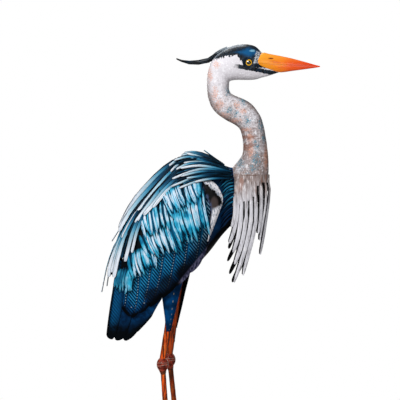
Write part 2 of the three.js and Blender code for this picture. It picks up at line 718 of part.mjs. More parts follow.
const paint = (colour, roughness = 0.45, metalness = 0.2) =>
  new THREE.MeshStandardMaterial({ color: colour, roughness, metalness });
const finishes = {
  navy: paint(0x0d2b4e),
  flight: paint(0x10567e),
  covert: paint(0x5fb2cf),
  plume: paint(0xa6cbdd),
  cream: paint(0xd3cdcb, 0.5, 0.05),
  patch: paint(0xe4e2e2, 0.5, 0.05),
  black: paint(0x14181d, 0.4),
  beak: paint(0xf08526, 0.35, 0.05),
  leg: paint(0xa8431a, 0.5, 0.3),
  eye: paint(0xe0b021, 0.2, 0.1),
  steel: paint(0x4a3426, 0.6, 0.5),
};

// Assembly

const heron = new THREE.Group();

// Names a solid's mesh, without the crumbs and needlessly small faces that a grazing cut leaves.
function place(name, solid, finish) {
  const bodies = solid.simplify(smallest.step).decompose().filter((body) => body.volume() > smallest.volume);
  const mesh = new THREE.Mesh(geometryFrom(joined(bodies)), finishes[finish]);
  mesh.name = name;
  heron.add(mesh);
}

const bodyRoom = bodySolid(gap);
const eyeRooms = sides.map(({ sign }) => eyeSolid(sign, gap));

place("base_plate", baseSolid(), "steel");
place("body", bodySolid(0), "navy");
place("neck_and_head", cut(headSolid(0), beakSolid(gap), bodyRoom, ...eyeRooms), "cream");
place("beak", beakSolid(0), "beak");
place("crest", cut(crestSolid(), headSolid(gap)), "black");
place("bib", cut(bibSolid(), bodyRoom), "cream");
place("tail", cut(tailSolid(), bodyRoom), "navy");
place("ridge_plumes", cut(ridgeSolid(), bodyRoom), "plume");

for (const { name, sign } of sides) {
  place(name + "_eye", eyeSolid(sign, 0), "eye");
  place(name + "_flight_feathers", flightSolid(sign), "flight");
  place(name + "_coverts", covertSolid(sign), "covert");
  place(name + "_shoulder_patch", patchSolid(sign), "patch");
  place(name + "_shoulder_plumes", plumeSolid(shoulderPlumes, shoulderStraps, sign), "plume");
  place(name + "_back_plumes", plumeSolid(backPlumes, backStraps, sign), "plume");
  place(name + "_chest_plumes", chestSolid(sign), "cream");

  const [hip, knee, foot] = ["hip", "knee", "foot"].map((key) => {
    const [x, z] = legs[name][key];
    return vec(x, sign * legSpread, z);
  });
  const at = { hip, knee, foot };
  const kneeSolid = (grow) => ball(knee, kneeRadius + grow, 1.25, 10, 7);
  place(name + "_foot", footSolid(at, sign, 0), "leg");
  place(name + "_shank", cut(rod(foot, knee, shankRadius), kneeSolid(gap), footSolid(at, sign, gap)), "leg");
  place(name + "_knee", kneeSolid(0), "leg");
  place(name + "_upper_leg", cut(rod(knee, hip, upperLegRadius), kneeSolid(gap), bodyRoom), "leg");
  place(name + "_thigh", cut(thighSolid(at, sign), rod(knee, hip, upperLegRadius + gap), bodyRoom), "navy");
}

export default heron;
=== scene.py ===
import math
import random

import bpy
from mathutils import Euler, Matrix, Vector, noise


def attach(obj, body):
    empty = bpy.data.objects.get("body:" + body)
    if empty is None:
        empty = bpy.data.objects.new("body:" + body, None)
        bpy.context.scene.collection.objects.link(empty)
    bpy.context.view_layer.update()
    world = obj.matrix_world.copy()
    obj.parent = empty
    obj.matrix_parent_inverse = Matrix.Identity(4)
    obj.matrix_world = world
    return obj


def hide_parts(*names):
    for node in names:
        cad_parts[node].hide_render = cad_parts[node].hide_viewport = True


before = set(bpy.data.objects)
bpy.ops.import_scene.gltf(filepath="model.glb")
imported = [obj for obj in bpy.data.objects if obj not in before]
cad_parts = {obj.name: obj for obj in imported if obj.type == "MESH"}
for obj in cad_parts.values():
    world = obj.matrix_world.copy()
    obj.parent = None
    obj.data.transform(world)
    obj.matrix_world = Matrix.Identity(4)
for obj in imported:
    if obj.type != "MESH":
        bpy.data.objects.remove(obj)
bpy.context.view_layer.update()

# Sizes are in millimetres in this file, and meshes are made in metres.
metre = 0.001
sides = {"left": 1, "right": -1}
draw = random.Random(7)


# Lines

def smoothLine(pairs):                       # a smooth function through (distance, value) pairs
    def slope(i):
        a, b = pairs[max(i - 1, 0)], pairs[min(i + 1, len(pairs) - 1)]
        return (b[1] - a[1]) / (b[0] - a[0])

    def value(at):
        if at <= pairs[0][0]:
            return pairs[0][1]
        if at >= pairs[-1][0]:
            return pairs[-1][1]
        i = 0
        while pairs[i + 1][0] < at:
            i += 1
        (x0, y0), (x1, y1) = pairs[i], pairs[i + 1]
        w = x1 - x0
        t = (at - x0) / w
        s = 1 - t
        return (y0 * s * s * (1 + 2 * t) + y1 * t * t * (3 - 2 * t)
                + w * t * s * (slope(i) * s - slope(i + 1) * t))
    return value


def onCurve(points, t):                      # a point of the smooth curve through points, t from 0 to 1
    last = len(points) - 1
    place = min(max(t, 0), 1) * last
    i = min(int(place), last - 1)
    w = place - i
    nearby = (points[min(max(k, 0), last)] for k in (i - 1, i, i + 1, i + 2))

    def one(before, a, b, after):
        v0, v1 = (b - before) / 2, (after - a) / 2
        return (((2 * a - 2 * b + v0 + v1) * w + 3 * b - 3 * a - 2 * v0 - v1) * w + v0) * w + a
    return [one(*values) for values in zip(*nearby)]


def mix(a, b, t):
    return a + (b - a) * t


def between(first, second, along, share):    # a side-view place between two curves
    a, b = onCurve(first, along), onCurve(second, along)
    return mix(a[0], b[0], share), mix(a[1], b[1], share)


def heading(path, t, step):                  # the way a side-view curve runs at t
    ahead, behind = onCurve(path, min(t + step, 1)), onCurve(path, max(t - step, 0))
    return Vector((ahead[0] - behind[0], 0, ahead[1] - behind[1])).normalized()


def ease(lo, hi, value):
    t = min(max((value - lo) / (hi - lo), 0), 1)
    return t * t * (3 - 2 * t)


# The body's frame: along runs from the shoulder to the tail, across runs towards the back

bodyPitch = math.radians(54)
shoulder = Vector((135, 0, 705))
alongBody = Vector((-math.cos(bodyPitch), 0, -math.sin(bodyPitch)))
acrossBody = Vector((-math.sin(bodyPitch), 0, math.cos(bodyPitch)))
trunk = {
    "back": smoothLine([(-16, -14), (-9, -4), (0, 19), (10, 53), (31, 95), (58, 108), (89, 111), (125, 115),
                        (186, 117), (233, 113), (280, 102), (330, 85), (380, 60), (430, 30)]),
    "belly": smoothLine([(-16, -16), (-9, -32), (14, -64), (46, -84), (77, -88), (101, -85), (140, -80),
                         (200, -78), (250, -71), (300, -60), (350, -47), (400, -33), (430, -22)]),
    "half": smoothLine([(-16, 4), (-9, 10), (0, 18), (14, 38), (37, 55), (68, 64), (110, 70), (160, 73),
                        (220, 70), (280, 60), (340, 46), (400, 31), (430, 22)]),
}
coat = {                                     # the wider surface that wings, plumes and tail follow
    "back": smoothLine([(-16, 40), (10, 92), (31, 112), (89, 122), (186, 131), (264, 136), (311, 124),
                        (375, 103), (432, 72), (492, 48), (530, 34)]),
    "belly": smoothLine([(-16, -60), (46, -112), (101, -114), (200, -110), (300, -100), (364, -92),
                         (421, -88), (478, -84), (530, -76)]),
    "half": smoothLine([(-16, 34), (0, 44), (14, 53), (37, 61), (68, 69), (110, 76.5), (160, 80.5),
                        (220, 78), (280, 69), (340, 56), (400, 42), (440, 33), (490, 24), (530, 19)]),
}


def bodyPlace(x, z):
    start = Vector((x, 0, z)) - shoulder
    return start.dot(alongBody), start.dot(acrossBody)


def depthAt(skin, u, v):                     # half the width of the skin, easing off outside its outline
    middle = (skin["back"](u) + skin["belly"](u)) / 2
    half = (skin["back"](u) - skin["belly"](u)) / 2
    room = 1 - ((v - middle) / half) ** 2
    return skin["half"](u) * math.sqrt((room + math.sqrt(room * room + 0.03)) / 2)


def onCoat(x, z, side, lift, skin=coat):     # a place beside the skin in side view, and the way it faces
    u, v = bodyPlace(x, z)
    depth = depthAt(skin, u, v)
    normal = (Vector((0, side, 0)) + alongBody * (depth - depthAt(skin, u + 1, v))
              + acrossBody * (depth - depthAt(skin, u, v + 1))).normalized()
    return Vector((x, side * (depth + lift), z)), normal


wings = {"rise": 6, "start": 120, "full": 320}


def wingRise(x, z):                          # the wings stand off the body towards their tips
    return wings["rise"] * ease(wings["start"], wings["full"], bodyPlace(x, z)[0])


# Modelling

def deselect():
    if bpy.context.object and bpy.context.object.mode != "OBJECT":
        bpy.ops.object.mode_set(mode="OBJECT")
    bpy.ops.object.select_all(action="DESELECT")


def only(piece):
    deselect()
    piece.select_set(True)
    bpy.context.view_layer.objects.active = piece


def applyAll(piece):
    only(piece)
    for modifier in list(piece.modifiers):
        bpy.ops.object.modifier_apply(modifier=modifier.name)


def cleaned(piece, closeEnds=False):         # seams merged, ends closed where asked, faces outwards
    only(piece)
    bpy.ops.object.mode_set(mode="EDIT")
    bpy.ops.mesh.select_all(action="SELECT")
    bpy.ops.mesh.remove_doubles(threshold=0.00001)
    if closeEnds:
        bpy.ops.mesh.fill_holes(sides=0)
    bpy.ops.mesh.select_all(action="SELECT")
    bpy.ops.mesh.normals_make_consistent(inside=False)
    bpy.ops.object.mode_set(mode="OBJECT")
    return piece


def added(add, name, **settings):            # adds a primitive, the only thing selected
    deselect()
    add(**settings)
    bpy.context.object.name = name
    return bpy.context.object


def gridPiece(name, columns, rows, place):   # a grid whose points go where place(across, down) says
    piece = added(bpy.ops.mesh.primitive_grid_add, name, size=1,
                  x_subdivisions=columns, y_subdivisions=rows)
    for vertex in piece.data.vertices:
        vertex.co = place(vertex.co.x + 0.5, vertex.co.y + 0.5) * metre
    return piece


def oval(centre, up, out, angle, power=2):
    c, s = math.cos(angle), math.sin(angle)
    bend = lambda v: math.copysign(abs(v) ** (2 / power), v)
    return centre + up * bend(c) + out * bend(s)


def tubePiece(name, ring, count, rows):      # a closed tube; ring(down) gives (centre, up, out, power)
    def place(across, down):
        centre, up, out, power = ring(down)
        return oval(centre, up, out, 2 * math.pi * across, power)
    return cleaned(gridPiece(name, count, rows, place), closeEnds=True)


def walled(piece, thickness):                # gives an open sheet its thickness in mm, inwards
    wall = piece.modifiers.new("wall", "SOLIDIFY")
    wall.thickness = thickness * metre
    wall.offset = -1
    cleaned(piece)
    applyAll(piece)
    return piece


def uprightRing(x, top, bottom, half, power=2):
    centre = Vector((x, 0, (top + bottom) / 2))
    return centre, Vector((0, 0, (top - bottom) / 2)), Vector((0, half, 0)), power


def joinPieces(name, pieces):
    only(pieces[0])
    for piece in pieces:
        piece.select_set(True)
    bpy.ops.object.join()
    bpy.context.object.name = name
    bpy.context.object.data.name = name
    return bpy.context.object


def copyOf(master):
    piece = master.copy()
    piece.data = master.data.copy()
    bpy.context.collection.objects.link(piece)
    return piece


def smoothed(piece, angle=None):
    only(piece)
    if angle is None:
        bpy.ops.object.shade_smooth()
    else:
        bpy.ops.object.shade_smooth_by_angle(angle=math.radians(angle))
    return piece


def number(piece, name, value):              # a number, or a list of them, kept at the points of the mesh
    mesh = piece.data
    attribute = mesh.attributes.get(name) or mesh.attributes.new(name, "FLOAT", "POINT")
    attribute.data.foreach_set("value", value if isinstance(value, list) else [value] * len(mesh.vertices))


def dress(piece, paint, slot, *nodes):       # the last step for each piece
    piece.data.materials.clear()
    piece.data.materials.append(paint.material)
    if nodes:
        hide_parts(*nodes)
    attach(piece, "root")
    return piece


def grouped(title, pieces, angle, finish, slot, *nodes):
    return dress(smoothed(joinPieces(title, pieces), angle), finish, slot, *nodes)


# Feathers: a master of each kind is modelled once, and each feather is a copy bent along its own line

# In a master x is the share of the width, y the share of the length and z the height in millimetres.

featherThickness = 1.1


def slipped(place, by):                      # a side-view place moved a little at random
    return [value + draw.uniform(-by, by) for value in place]


def featherMaster(name, outline, camber, rows=8, crowd=1.0):     # crowd above 1 crowds the rows to the tip
    master = added(bpy.ops.mesh.primitive_grid_add, name, size=1, x_subdivisions=2, y_subdivisions=rows)
    bpy.ops.object.mode_set(mode="EDIT")
    bpy.ops.mesh.select_all(action="SELECT")
    bpy.ops.mesh.extrude_region_move(TRANSFORM_OT_translate={"value": (0, 0, 1)})
    bpy.ops.mesh.select_all(action="SELECT")
    bpy.ops.mesh.normals_make_consistent(inside=False)
    bpy.ops.object.mode_set(mode="OBJECT")
    under = []
    for vertex in master.data.vertices:
        x, y, z = vertex.co
        down = 1 - (1 - (y + 0.5)) ** crowd
        under.append(0.0 if z > 0.5 else 1.0)
        vertex.co = (x * outline(down), down, z * featherThickness + camber * (1 - 4 * x * x))
    number(master, "under", under)
    return master


# outlines: (share of the length, share of the width)
roundTip = smoothLine([(0, 0.55), (0.15, 0.84), (0.4, 1), (0.8, 0.95), (0.93, 0.74), (0.98, 0.5), (1, 0.3)])
bluntTip = smoothLine([(0, 0.55), (0.15, 0.84), (0.4, 1), (0.88, 1), (0.96, 0.9), (1, 0.55)])
leafTip = smoothLine([(0, 0.5), (0.2, 0.88), (0.45, 1), (0.68, 0.82), (0.86, 0.42), (1, 0.04)])
wireTip = smoothLine([(0, 0.9), (0.5, 1), (0.9, 0.7), (1, 0.3)])
masters = {
    "strip": featherMaster("stripMaster", roundTip, 1.8, crowd=1.35),
    "blunt": featherMaster("bluntMaster", bluntTip, 1.8, crowd=1.45),
    "leaf": featherMaster("leafMaster", leafTip, 1.6, rows=6, crowd=1.2),
    "wire": featherMaster("wireMaster", wireTip, 0.6, rows=7),
}


def laid(kind, where, width, tone):          # where(down) gives the line's point and the way it faces there
    piece = copyOf(masters[kind])
    frames = {}
    for vertex in piece.data.vertices:
        x, y, z = vertex.co
        key = round(y, 4)
        if key not in frames:
            point, normal = where(y)
            ahead = where(min(y + 0.02, 1))[0] - where(max(y - 0.02, 0))[0]
            aside = ahead.cross(normal).normalized()
            frames[key] = point, normal, aside
        point, normal, aside = frames[key]
        vertex.co = (point + aside * (x * width) + normal * z) * metre
    number(piece, "tone", tone)
    return piece


def onSide(path, side, lift, tilt=0.5, rise=False, skin=coat):       # a line over the skin, facing sideways
    def where(t):
        x, z = onCurve(path, t)
        point, normal = onCoat(x, z, side, mix(*lift, t) + (wingRise(x, z) if rise else 0), skin)
        return point, normal.lerp(Vector((0, side, 0)), tilt).normalized()
    return where


# Shader maths

def operator(operation, turned=False):       # a Math node as a method; turned swaps its two values
    def work(self, other=0.0):
        return self.paint.maths(operation, *((other, self) if turned else (self, other)))
    return work


class Shade:                                 # a number that varies over a surface
    def __init__(self, paint, socket):
        self.paint, self.socket = paint, socket

    __add__ = __radd__ = operator("ADD")
    __sub__ = operator("SUBTRACT")
    __rsub__ = operator("SUBTRACT", turned=True)
    __mul__ = __rmul__ = operator("MULTIPLY")
    __truediv__ = operator("DIVIDE")
    __pow__ = operator("POWER")
    __or__ = operator("MAXIMUM")             # the greater of two masks
    __abs__ = operator("ABSOLUTE")
    fraction = operator("FRACT")

    def band(self, lo, hi):                  # 0 at lo and beyond, 1 at hi and beyond, smooth between
        step = self.paint.make("ShaderNodeMapRange", {"interpolation_type": "SMOOTHSTEP"}, {
            0: self, 1: lo, 2: hi})
        return Shade(self.paint, step.outputs[0])


class Nodes:                                 # a node tree and the one way that nodes are added to it
    def __init__(self, tree):
        self.tree = tree
        tree.nodes.clear()

    def make(self, kind, settings={}, sockets={}):
        node = self.tree.nodes.new(kind)
        for key, value in settings.items():
            if key == "stops":
                while len(node.color_ramp.elements) < len(value):
                    node.color_ramp.elements.new(0.5)
                for element, (at, colour) in zip(node.color_ramp.elements, value):
                    element.position = at
                    element.color = tint(colour)
            else:
                setattr(node, key, value)
        for key, value in sockets.items():
            self.feed(node.inputs[key], value)
        return node

    def feed(self, socket, value):
        if isinstance(value, Shade):
            value = value.socket
        if isinstance(value, bpy.types.NodeSocket):
            self.tree.links.new(value, socket)
        else:
            socket.default_value = value


class Paint(Nodes):                          # one painted finish
    def __init__(self, name, roughness=0.4, specular=0.07, coat=0.0):
        self.material = bpy.data.materials.new(name)
        self.material.use_nodes = True
        super().__init__(self.material.node_tree)
        self.shader = self.make("ShaderNodeBsdfPrincipled", {}, {
            "Roughness": roughness, "Specular IOR Level": specular,
            "Coat Weight": coat, "Coat Roughness": 0.12})
        self.make("ShaderNodeOutputMaterial", {}, {"Surface": self.shader.outputs[0]})
        self.spot = self.make("ShaderNodeTexCoord").outputs["Object"]
        self.x, self.y, self.z = (Shade(self, o) for o in self.split(self.spot))
        self.u, self.v = (Shade(self, o) for o in self.split(self.make("ShaderNodeUVMap").outputs[0])[:2])

    def split(self, vector):
        return self.make("ShaderNodeSeparateXYZ", {}, {0: vector}).outputs

    def maths(self, operation, a, b):
        return Shade(self, self.make("ShaderNodeMath", {"operation": operation}, {0: a, 1: b}).outputs[0])

    def attribute(self, name):
        return Shade(self, self.make("ShaderNodeAttribute", {"attribute_name": name}).outputs["Fac"])

    def point(self, x, y, z):
        return self.make("ShaderNodeCombineXYZ", {}, {0: x, 1: y, 2: z}).outputs[0]

    def grain(self, scale, where=None, stretch=(1, 1, 1), detail=3.0, rough=0.55):
        start = self.make("ShaderNodeVectorMath", {"operation": "MULTIPLY"}, {
            0: where or self.spot, 1: stretch}).outputs[0]
        node = self.make("ShaderNodeTexNoise", {}, {
            "Vector": start, "Scale": scale, "Detail": detail, "Roughness": rough})
        return Shade(self, node.outputs[0])

    def offCentre(self):                     # 0 along the middle of a feather, 1 at its sides
        return abs(self.u - 0.5) * 2

    def patches(self, spots, ragged=0.0):    # 1 inside any spot (x, z, half width, half height), in mm
        cover = None
        for x, z, halfWidth, halfHeight in spots:
            across = (self.x - x * metre) / (halfWidth * metre)
            up = (self.z - z * metre) / (halfHeight * metre)
            spot = (across ** 2.0 + up ** 2.0 + ragged).band(1.2, 0.3)
            cover = cover | spot if cover else spot
        return cover

    def colour(self, factor, a, b):
        colours = {0: factor, 6: tint(a), 7: tint(b)}
        return self.make("ShaderNodeMix", {"data_type": "RGBA"}, colours).outputs[2]

    def over(self, factor, colour):          # one more coat of colour over what is painted so far
        self.base = self.colour(factor, self.base, colour)

    def ramp(self, value, stops):
        return self.make("ShaderNodeValToRGB", {"stops": stops}, {0: value}).outputs[0]

    def finish(self, height=None, depth=0.4, roughness=None):
        self.feed(self.shader.inputs["Base Color"], tint(self.base))
        if roughness is not None:
            self.feed(self.shader.inputs["Roughness"], roughness)
        if height is not None:
            bump = self.make("ShaderNodeBump", {}, {"Strength": depth, "Distance": 0.002, "Height": height})
            self.feed(self.shader.inputs["Normal"], bump.outputs[0])
        return self


def tint(colour):                            # "#rrggbb" to linear light; anything else passes through
    if not isinstance(colour, str):
        return colour
    parts = [int(colour[i:i + 2], 16) / 255 for i in (1, 3, 5)]
    return tuple(c / 12.92 if c < 0.04045 else ((c + 0.055) / 1.055) ** 2.4 for c in parts) + (1.0,)


# Camera

camera = {"place": (0.060, -3.0, 0.630), "lens": 108, "sensor": 36}
view = added(bpy.ops.object.camera_add, "Camera", location=camera["place"], rotation=(math.pi / 2, 0, 0))
view.data.lens = camera["lens"]
view.data.sensor_width = camera["sensor"]
view.data.clip_end = 50
bpy.context.scene.camera = view


# Trunk: the hollow body under the feathers

trunkPiece = {"rows": 44, "around": 48, "start": -16, "end": 430}


def trunkRing(down):
    u = mix(trunkPiece["start"], trunkPiece["end"], down)
    back, belly = trunk["back"](u), trunk["belly"](u)
    centre = shoulder + alongBody * u + acrossBody * ((back + belly) / 2)
    return centre, acrossBody * ((back - belly) / 2), Vector((0, trunk["half"](u), 0)), 2


def trunkPaint():
    paint = Paint("trunkPaint", roughness=0.42, specular=0.03)
    x, y, z = paint.x, paint.y, paint.z
    mottle = paint.grain(38, detail=4)
    strokes = paint.grain(60, stretch=(1, 1, 0.35), detail=3)
    navy = paint.colour(mottle.band(0.35, 0.7), "#04203d", "#083a68")
    front = x.band(0.070, 0.095)          # the breast is blue and the rest is nearly black
    paint.base = paint.colour(front, "#04080e", navy)
    along = x * math.sin(bodyPitch) - z * math.cos(bodyPitch)
    belly = (along + mottle * 0.012).band(-0.262, -0.238) * x.band(0.10, 0.04)
    paint.over(belly, "#45435c")
    # near black along the underside of the belly: painted shade
    keel = (abs(y) + (mottle - 0.5) * 0.01).band(0.040, 0.033) * z.band(0.62, 0.60)
    paint.over(keel * x.band(0.05, 0.07), "#010204")
    return paint.finish(mottle + strokes * 0.5, 0.35)


body = smoothed(tubePiece("trunk", trunkRing, trunkPiece["around"], trunkPiece["rows"]))
dress(body, trunkPaint(), "navy", "body")
print("trunk made")


# Neck and head: a tube along the neck and an upright one for the head, fused and faired

neck = {                                     # stations: x, z, half depth in side view, half width
    "stations": [(106, 950, 27, 24), (105, 925, 28, 26), (105.5, 903, 27.5, 27), (112, 882, 29.5, 28),
                 (126, 867, 31.5, 29), (145, 856.5, 33, 30), (165, 846, 33.5, 30), (181, 830, 31.5, 29.5),
                 (190.5, 808, 29.5, 29), (196.5, 776, 29.5, 29.5), (197.7, 740, 33, 31.5),
                 (193, 716, 40.5, 36), (184.5, 690, 49, 42.5), (182, 676, 50, 43)],
    "seam": 692, "grain": 2.2, "fairings": 6, "dents": 0.9,
}
head = [                                     # x, top, bottom, half width
    (80, 955, 926, 13), (88, 975, 922, 20.5), (98, 991, 920, 24.5), (112, 1002, 921, 27),
    (128, 1011, 926, 28.5), (148, 1017.5, 930, 29), (170, 1019.5, 930, 27), (187, 1018, 930, 24),
    (201, 1012.5, 931.5, 19.5), (214, 999, 935.5, 14), (228, 983, 939, 10.5), (260, 953, 949.5, 3),
]
eyes = {
    "x": 181, "z": 971, "radius": 8.6, "out": 25.6, "bulge": 4.8, "sunk": 4.6, "hollow": 2.2,
    "lidRadius": 9.5, "lidTube": 1.6, "lidOut": 22.2,
}


def neckRing(down):
    x, z, inPlane, across = onCurve(neck["stations"], down)
    way = heading(neck["stations"], down, 0.01)
    return Vector((x, 0, z)), Vector((-way.z, 0, way.x)) * inPlane, Vector((0, across, 0)), 2


neckSpots = {                                # side-view middles and half sizes of the coloured patches
    "rust": [(84, 942, 6, 17), (97, 893, 7, 16), (108, 866, 11, 12), (152, 864, 7, 10), (165, 850, 8, 7),
             (184, 784, 7, 12), (186, 750, 7, 15), (224, 735, 5, 32), (100, 965, 8, 8), (121, 842, 14, 6),
             (176, 806, 10, 4), (150, 828, 12, 5)],
    "teal": [(134, 852, 11, 8), (167, 876, 8, 10), (129, 900, 6, 11), (177, 824, 7, 12), (213, 816, 7, 14),
             (201, 766, 6, 12), (199, 728, 9, 17), (160, 722, 8, 15), (218, 784, 4, 10), (176, 684, 10, 12),
             (150, 844, 6, 6), (190, 708, 8, 8)],
}


def neckPaint():
    paint = Paint("neckPaint", roughness=0.5, specular=0.3)
    x, z = paint.x, paint.z
    blotch = paint.grain(48, detail=4)
    fleck = paint.grain(230, detail=3)
    pits = paint.grain(210, detail=3, rough=0.65)
    streak = paint.grain(230, stretch=(1, 1, 0.14), detail=3)
    # white face, greyer and pinker down the neck; low on its front and back edges a brown tint with painted
    # shade
    paint.base = paint.colour(z.band(0.90, 0.72), "#dcd8de", "#9d9293")
    paint.over(blotch.band(0.46, 0.66) * 0.6 * z.band(0.94, 0.86), "#a58f88")
    paint.over(blotch.band(0.47, 0.33) * 0.6 * z.band(0.95, 0.88), "#dcdde4")
    # a brown tint and painted shade low along the neck's front and back edges
    rim = (abs(paint.y) + (pits - 0.5) * 0.02).band(0.026, 0.008)
    paint.over(rim * 0.85 * z.band(0.955, 0.88), "#6a5148")
    lower = z.band(0.97, 0.84)
    paint.over(pits.band(0.55, 0.67) * 0.78 * lower, "#5a4a44")
    paint.over(fleck.band(0.57, 0.70) * 0.55 * lower, "#4a3f3f")
    paint.over(pits.band(0.47, 0.36) * 0.68, "#f6f5f9")
    specks = paint.grain(400, detail=2, rough=0.7)
    paint.over(specks.band(0.58, 0.68) * 0.8 * z.band(0.95, 0.82), "#3f332f")
    broken = (fleck - 0.5) * 5.0
    rust = paint.patches(neckSpots["rust"], (specks - 0.48) * 12.0 + (pits - 0.5) * 4.0)
    paint.over(rust * 0.6, "#d08256")
    teal = paint.patches(neckSpots["teal"], (specks - 0.46) * 14.0 + (fleck - 0.5) * 7.0)
    paint.over(teal * 0.9, paint.colour(pits.band(0.45, 0.58), "#174f63", "#4e9cb4"))
    seam = abs(z - 0.6925).band(0.0016, 0.0006) * x.band(0.165, 0.170) * x.band(0.205, 0.198)
    paint.over(seam * 0.7, "#5e4238")
    paint.over(streak.band(0.45, 0.66) * z.band(0.76, 0.70) * 0.75, "#80706b")
    # brown lines half way down stand in for hammered creases: painted shade in the creases, with a brown
    # tint
    creaseShade = abs((z * 48.0 + blotch * 1.6).fraction() - 0.5).band(0.30, 0.18)
    creaseShade = creaseShade * z.band(0.74, 0.76) * z.band(0.815, 0.79) * x.band(0.205, 0.19)
    paint.over(creaseShade * 0.65, "#7d4c36")
    # cap
    ragged = (paint.grain(260, stretch=(1, 1, 0.35), detail=2) - 0.5) * 0.022
    rear = 0.9775 + (x - 0.09) * 0.20 + ragged
    rearCap = (z - rear).band(0, 0.0012) * (x + ragged * 0.3).band(0.1545, 0.151)
    frontEdge = 0.150 + (0.9925 - z) * 0.60 + ragged * 0.5
    faceCap = (x - frontEdge).band(0, 0.0012) * (z + ragged * 0.4).band(0.9565, 0.9595)
    # the stripe that runs from behind the eye along the lower edge of the beak
    centre = 0.9615 - (x - 0.150) * 0.155
    stripe = abs(z - centre + ragged * 0.3).band(0.0062, 0.0042) * (x + ragged * 0.9).band(0.144, 0.158)
    cap = rearCap | faceCap | stripe
    # a blue painted sheen on the crown, with a paler painted glint in it: painted highlights
    sheen = (abs(z - 0.9965) + abs(x - 0.181) * 0.42 + ragged * 0.35).band(0.0185, 0.004)
    capTone = paint.colour(streak.band(0.42, 0.62), "#04080d", "#0f2233")
    capTone = paint.colour(sheen, capTone, "#0a5486")
    capTone = paint.colour(paint.patches([(190, 1001, 8, 3.5)], broken * 0.4) * 0.8, capTone, "#7fb8d2")
    pale = (abs(x - 0.2025 - (z - 0.985) * 0.25 + ragged * 0.2).band(0.0085, 0.0055)
            * z.band(0.967, 0.972) * z.band(1.003, 0.998))
    capTone = paint.colour(pale * fleck.band(0.60, 0.46), capTone, "#b9bcc2")
    # a grey painted highlight along the top of the cap
    top = 1.0175 - (x - 0.165) ** 2.0 * 6.0
    capTopHighlight = (z - top + ragged * 0.5).band(-0.0075, -0.003) * x.band(0.180, 0.160)
    capTone = paint.colour(capTopHighlight * 0.8, capTone, "#87919b")
    paint.over(cap, capTone)
    dents = paint.grain(85, detail=2) + paint.grain(300, detail=2) * 0.4
    return paint.finish(dents, 0.6, roughness=0.5 - cap * 0.18)


def makeNeck():
    tube = tubePiece("neckTube", neckRing, 40, 60)
    skull = tubePiece("skull", lambda down: uprightRing(*onCurve(head, down)), 40, 44)
    piece = joinPieces("neckAndHead", [tube, skull])
    fuse = piece.modifiers.new("fuse", "REMESH")
    fuse.voxel_size = neck["grain"] * metre
    fair = piece.modifiers.new("fair", "SMOOTH")
    fair.iterations = neck["fairings"]
    applyAll(piece)
    normals = [vertex.normal.copy() for vertex in piece.data.vertices]
    for vertex, normal in zip(piece.data.vertices, normals):         # eye hollows and hammer marks
        p = vertex.co / metre
        if abs(p.y) > 12:
            near = math.hypot(p.x - eyes["x"], p.z - eyes["z"])
            p.y -= math.copysign(eyes["hollow"], p.y) * ease(16, 8, near)
        dent = noise.noise(p * 0.045) * neck["dents"] * ease(940, 880, p.z)
        vertex.co = (p + normal * dent) * metre
    return smoothed(piece)


dress(makeNeck(), neckPaint(), "cream", "neck_and_head")
print("neck and head made")


# Beak

beak = {                                     # sections as the head's; nostril: middle and half sizes
    "sections": [(197, 981, 961, 18.5), (206, 990, 958, 18), (216, 998.5, 955, 16.5), (235, 995, 952, 14),
                 (262, 990, 949, 10.5), (290, 984, 952.5, 7), (320, 976, 956.5, 4.2),
                 (348, 968, 960.5, 1.8), (360, 965, 962.5, 0.7)],
    "power": 2.3, "nostril": (236.7, 982.5, 7.5, 1.9),
}


def beakPaint():
    paint = Paint("beakPaint", roughness=0.32, coat=0.3)
    x, z = paint.x, paint.z
    long = paint.grain(120, stretch=(0.18, 1, 1), detail=4)
    paint.base = paint.ramp((x + (long - 0.5) * 0.06).band(0.20, 0.345), [
        (0.0, "#f29a1d"), (0.35, "#f2811b"), (0.62, "#ea5a1c"), (1.0, "#dd4317")])
    paint.over(long.band(0.55, 0.72) * 0.45, "#c8501a")
    # paler along the top of the beak: painted highlight
    paint.over(z.band(0.968, 0.99) * 0.35, "#f6ab45")
    slit = paint.patches([beak["nostril"]], (long - 0.5) * 1.5)
    paint.over(slit * 0.9, "#6d1d10")
    mouth = abs(z - 0.9695 + (x - 0.197) * 0.033).band(0.0011, 0.0003)
    paint.over(mouth * 0.45 * x.band(0.35, 0.30), "#a3400f")
    return paint.finish(long + mouth * -1.2 + slit * -3, 0.3)


def beakRing(down):
    return uprightRing(*onCurve(beak["sections"], down), beak["power"])


dress(smoothed(tubePiece("beakShell", beakRing, 32, 40)), beakPaint(), "beak", "beak")


# Eyes: a gold ring around a black pupil in a raised dark lid

def eyePaint():
    paint = Paint("eyePaint", roughness=0.12, coat=0.8)
    x, z = paint.x, paint.z
    far = ((x - eyes["x"] * metre) ** 2.0 + (z - eyes["z"] * metre) ** 2.0) ** 0.5
    ring = paint.colour(far.band(0.0062, 0.0085), "#f2b91c", "#c9820e")
    paint.base = paint.colour(far.band(0.0057, 0.0050), ring, "#050505")
    glint = ((x - 0.1795) ** 2.0 + (z - 0.9735) ** 2.0) ** 0.5
    paint.over(glint.band(0.0017, 0.0011), "#f4f4f4")
    return paint.finish()


def lidPaint():
    paint = Paint("lidPaint", roughness=0.35, coat=0.3)
    paint.base = paint.colour(paint.grain(200), "#070b10", "#152c40")
    return paint.finish()


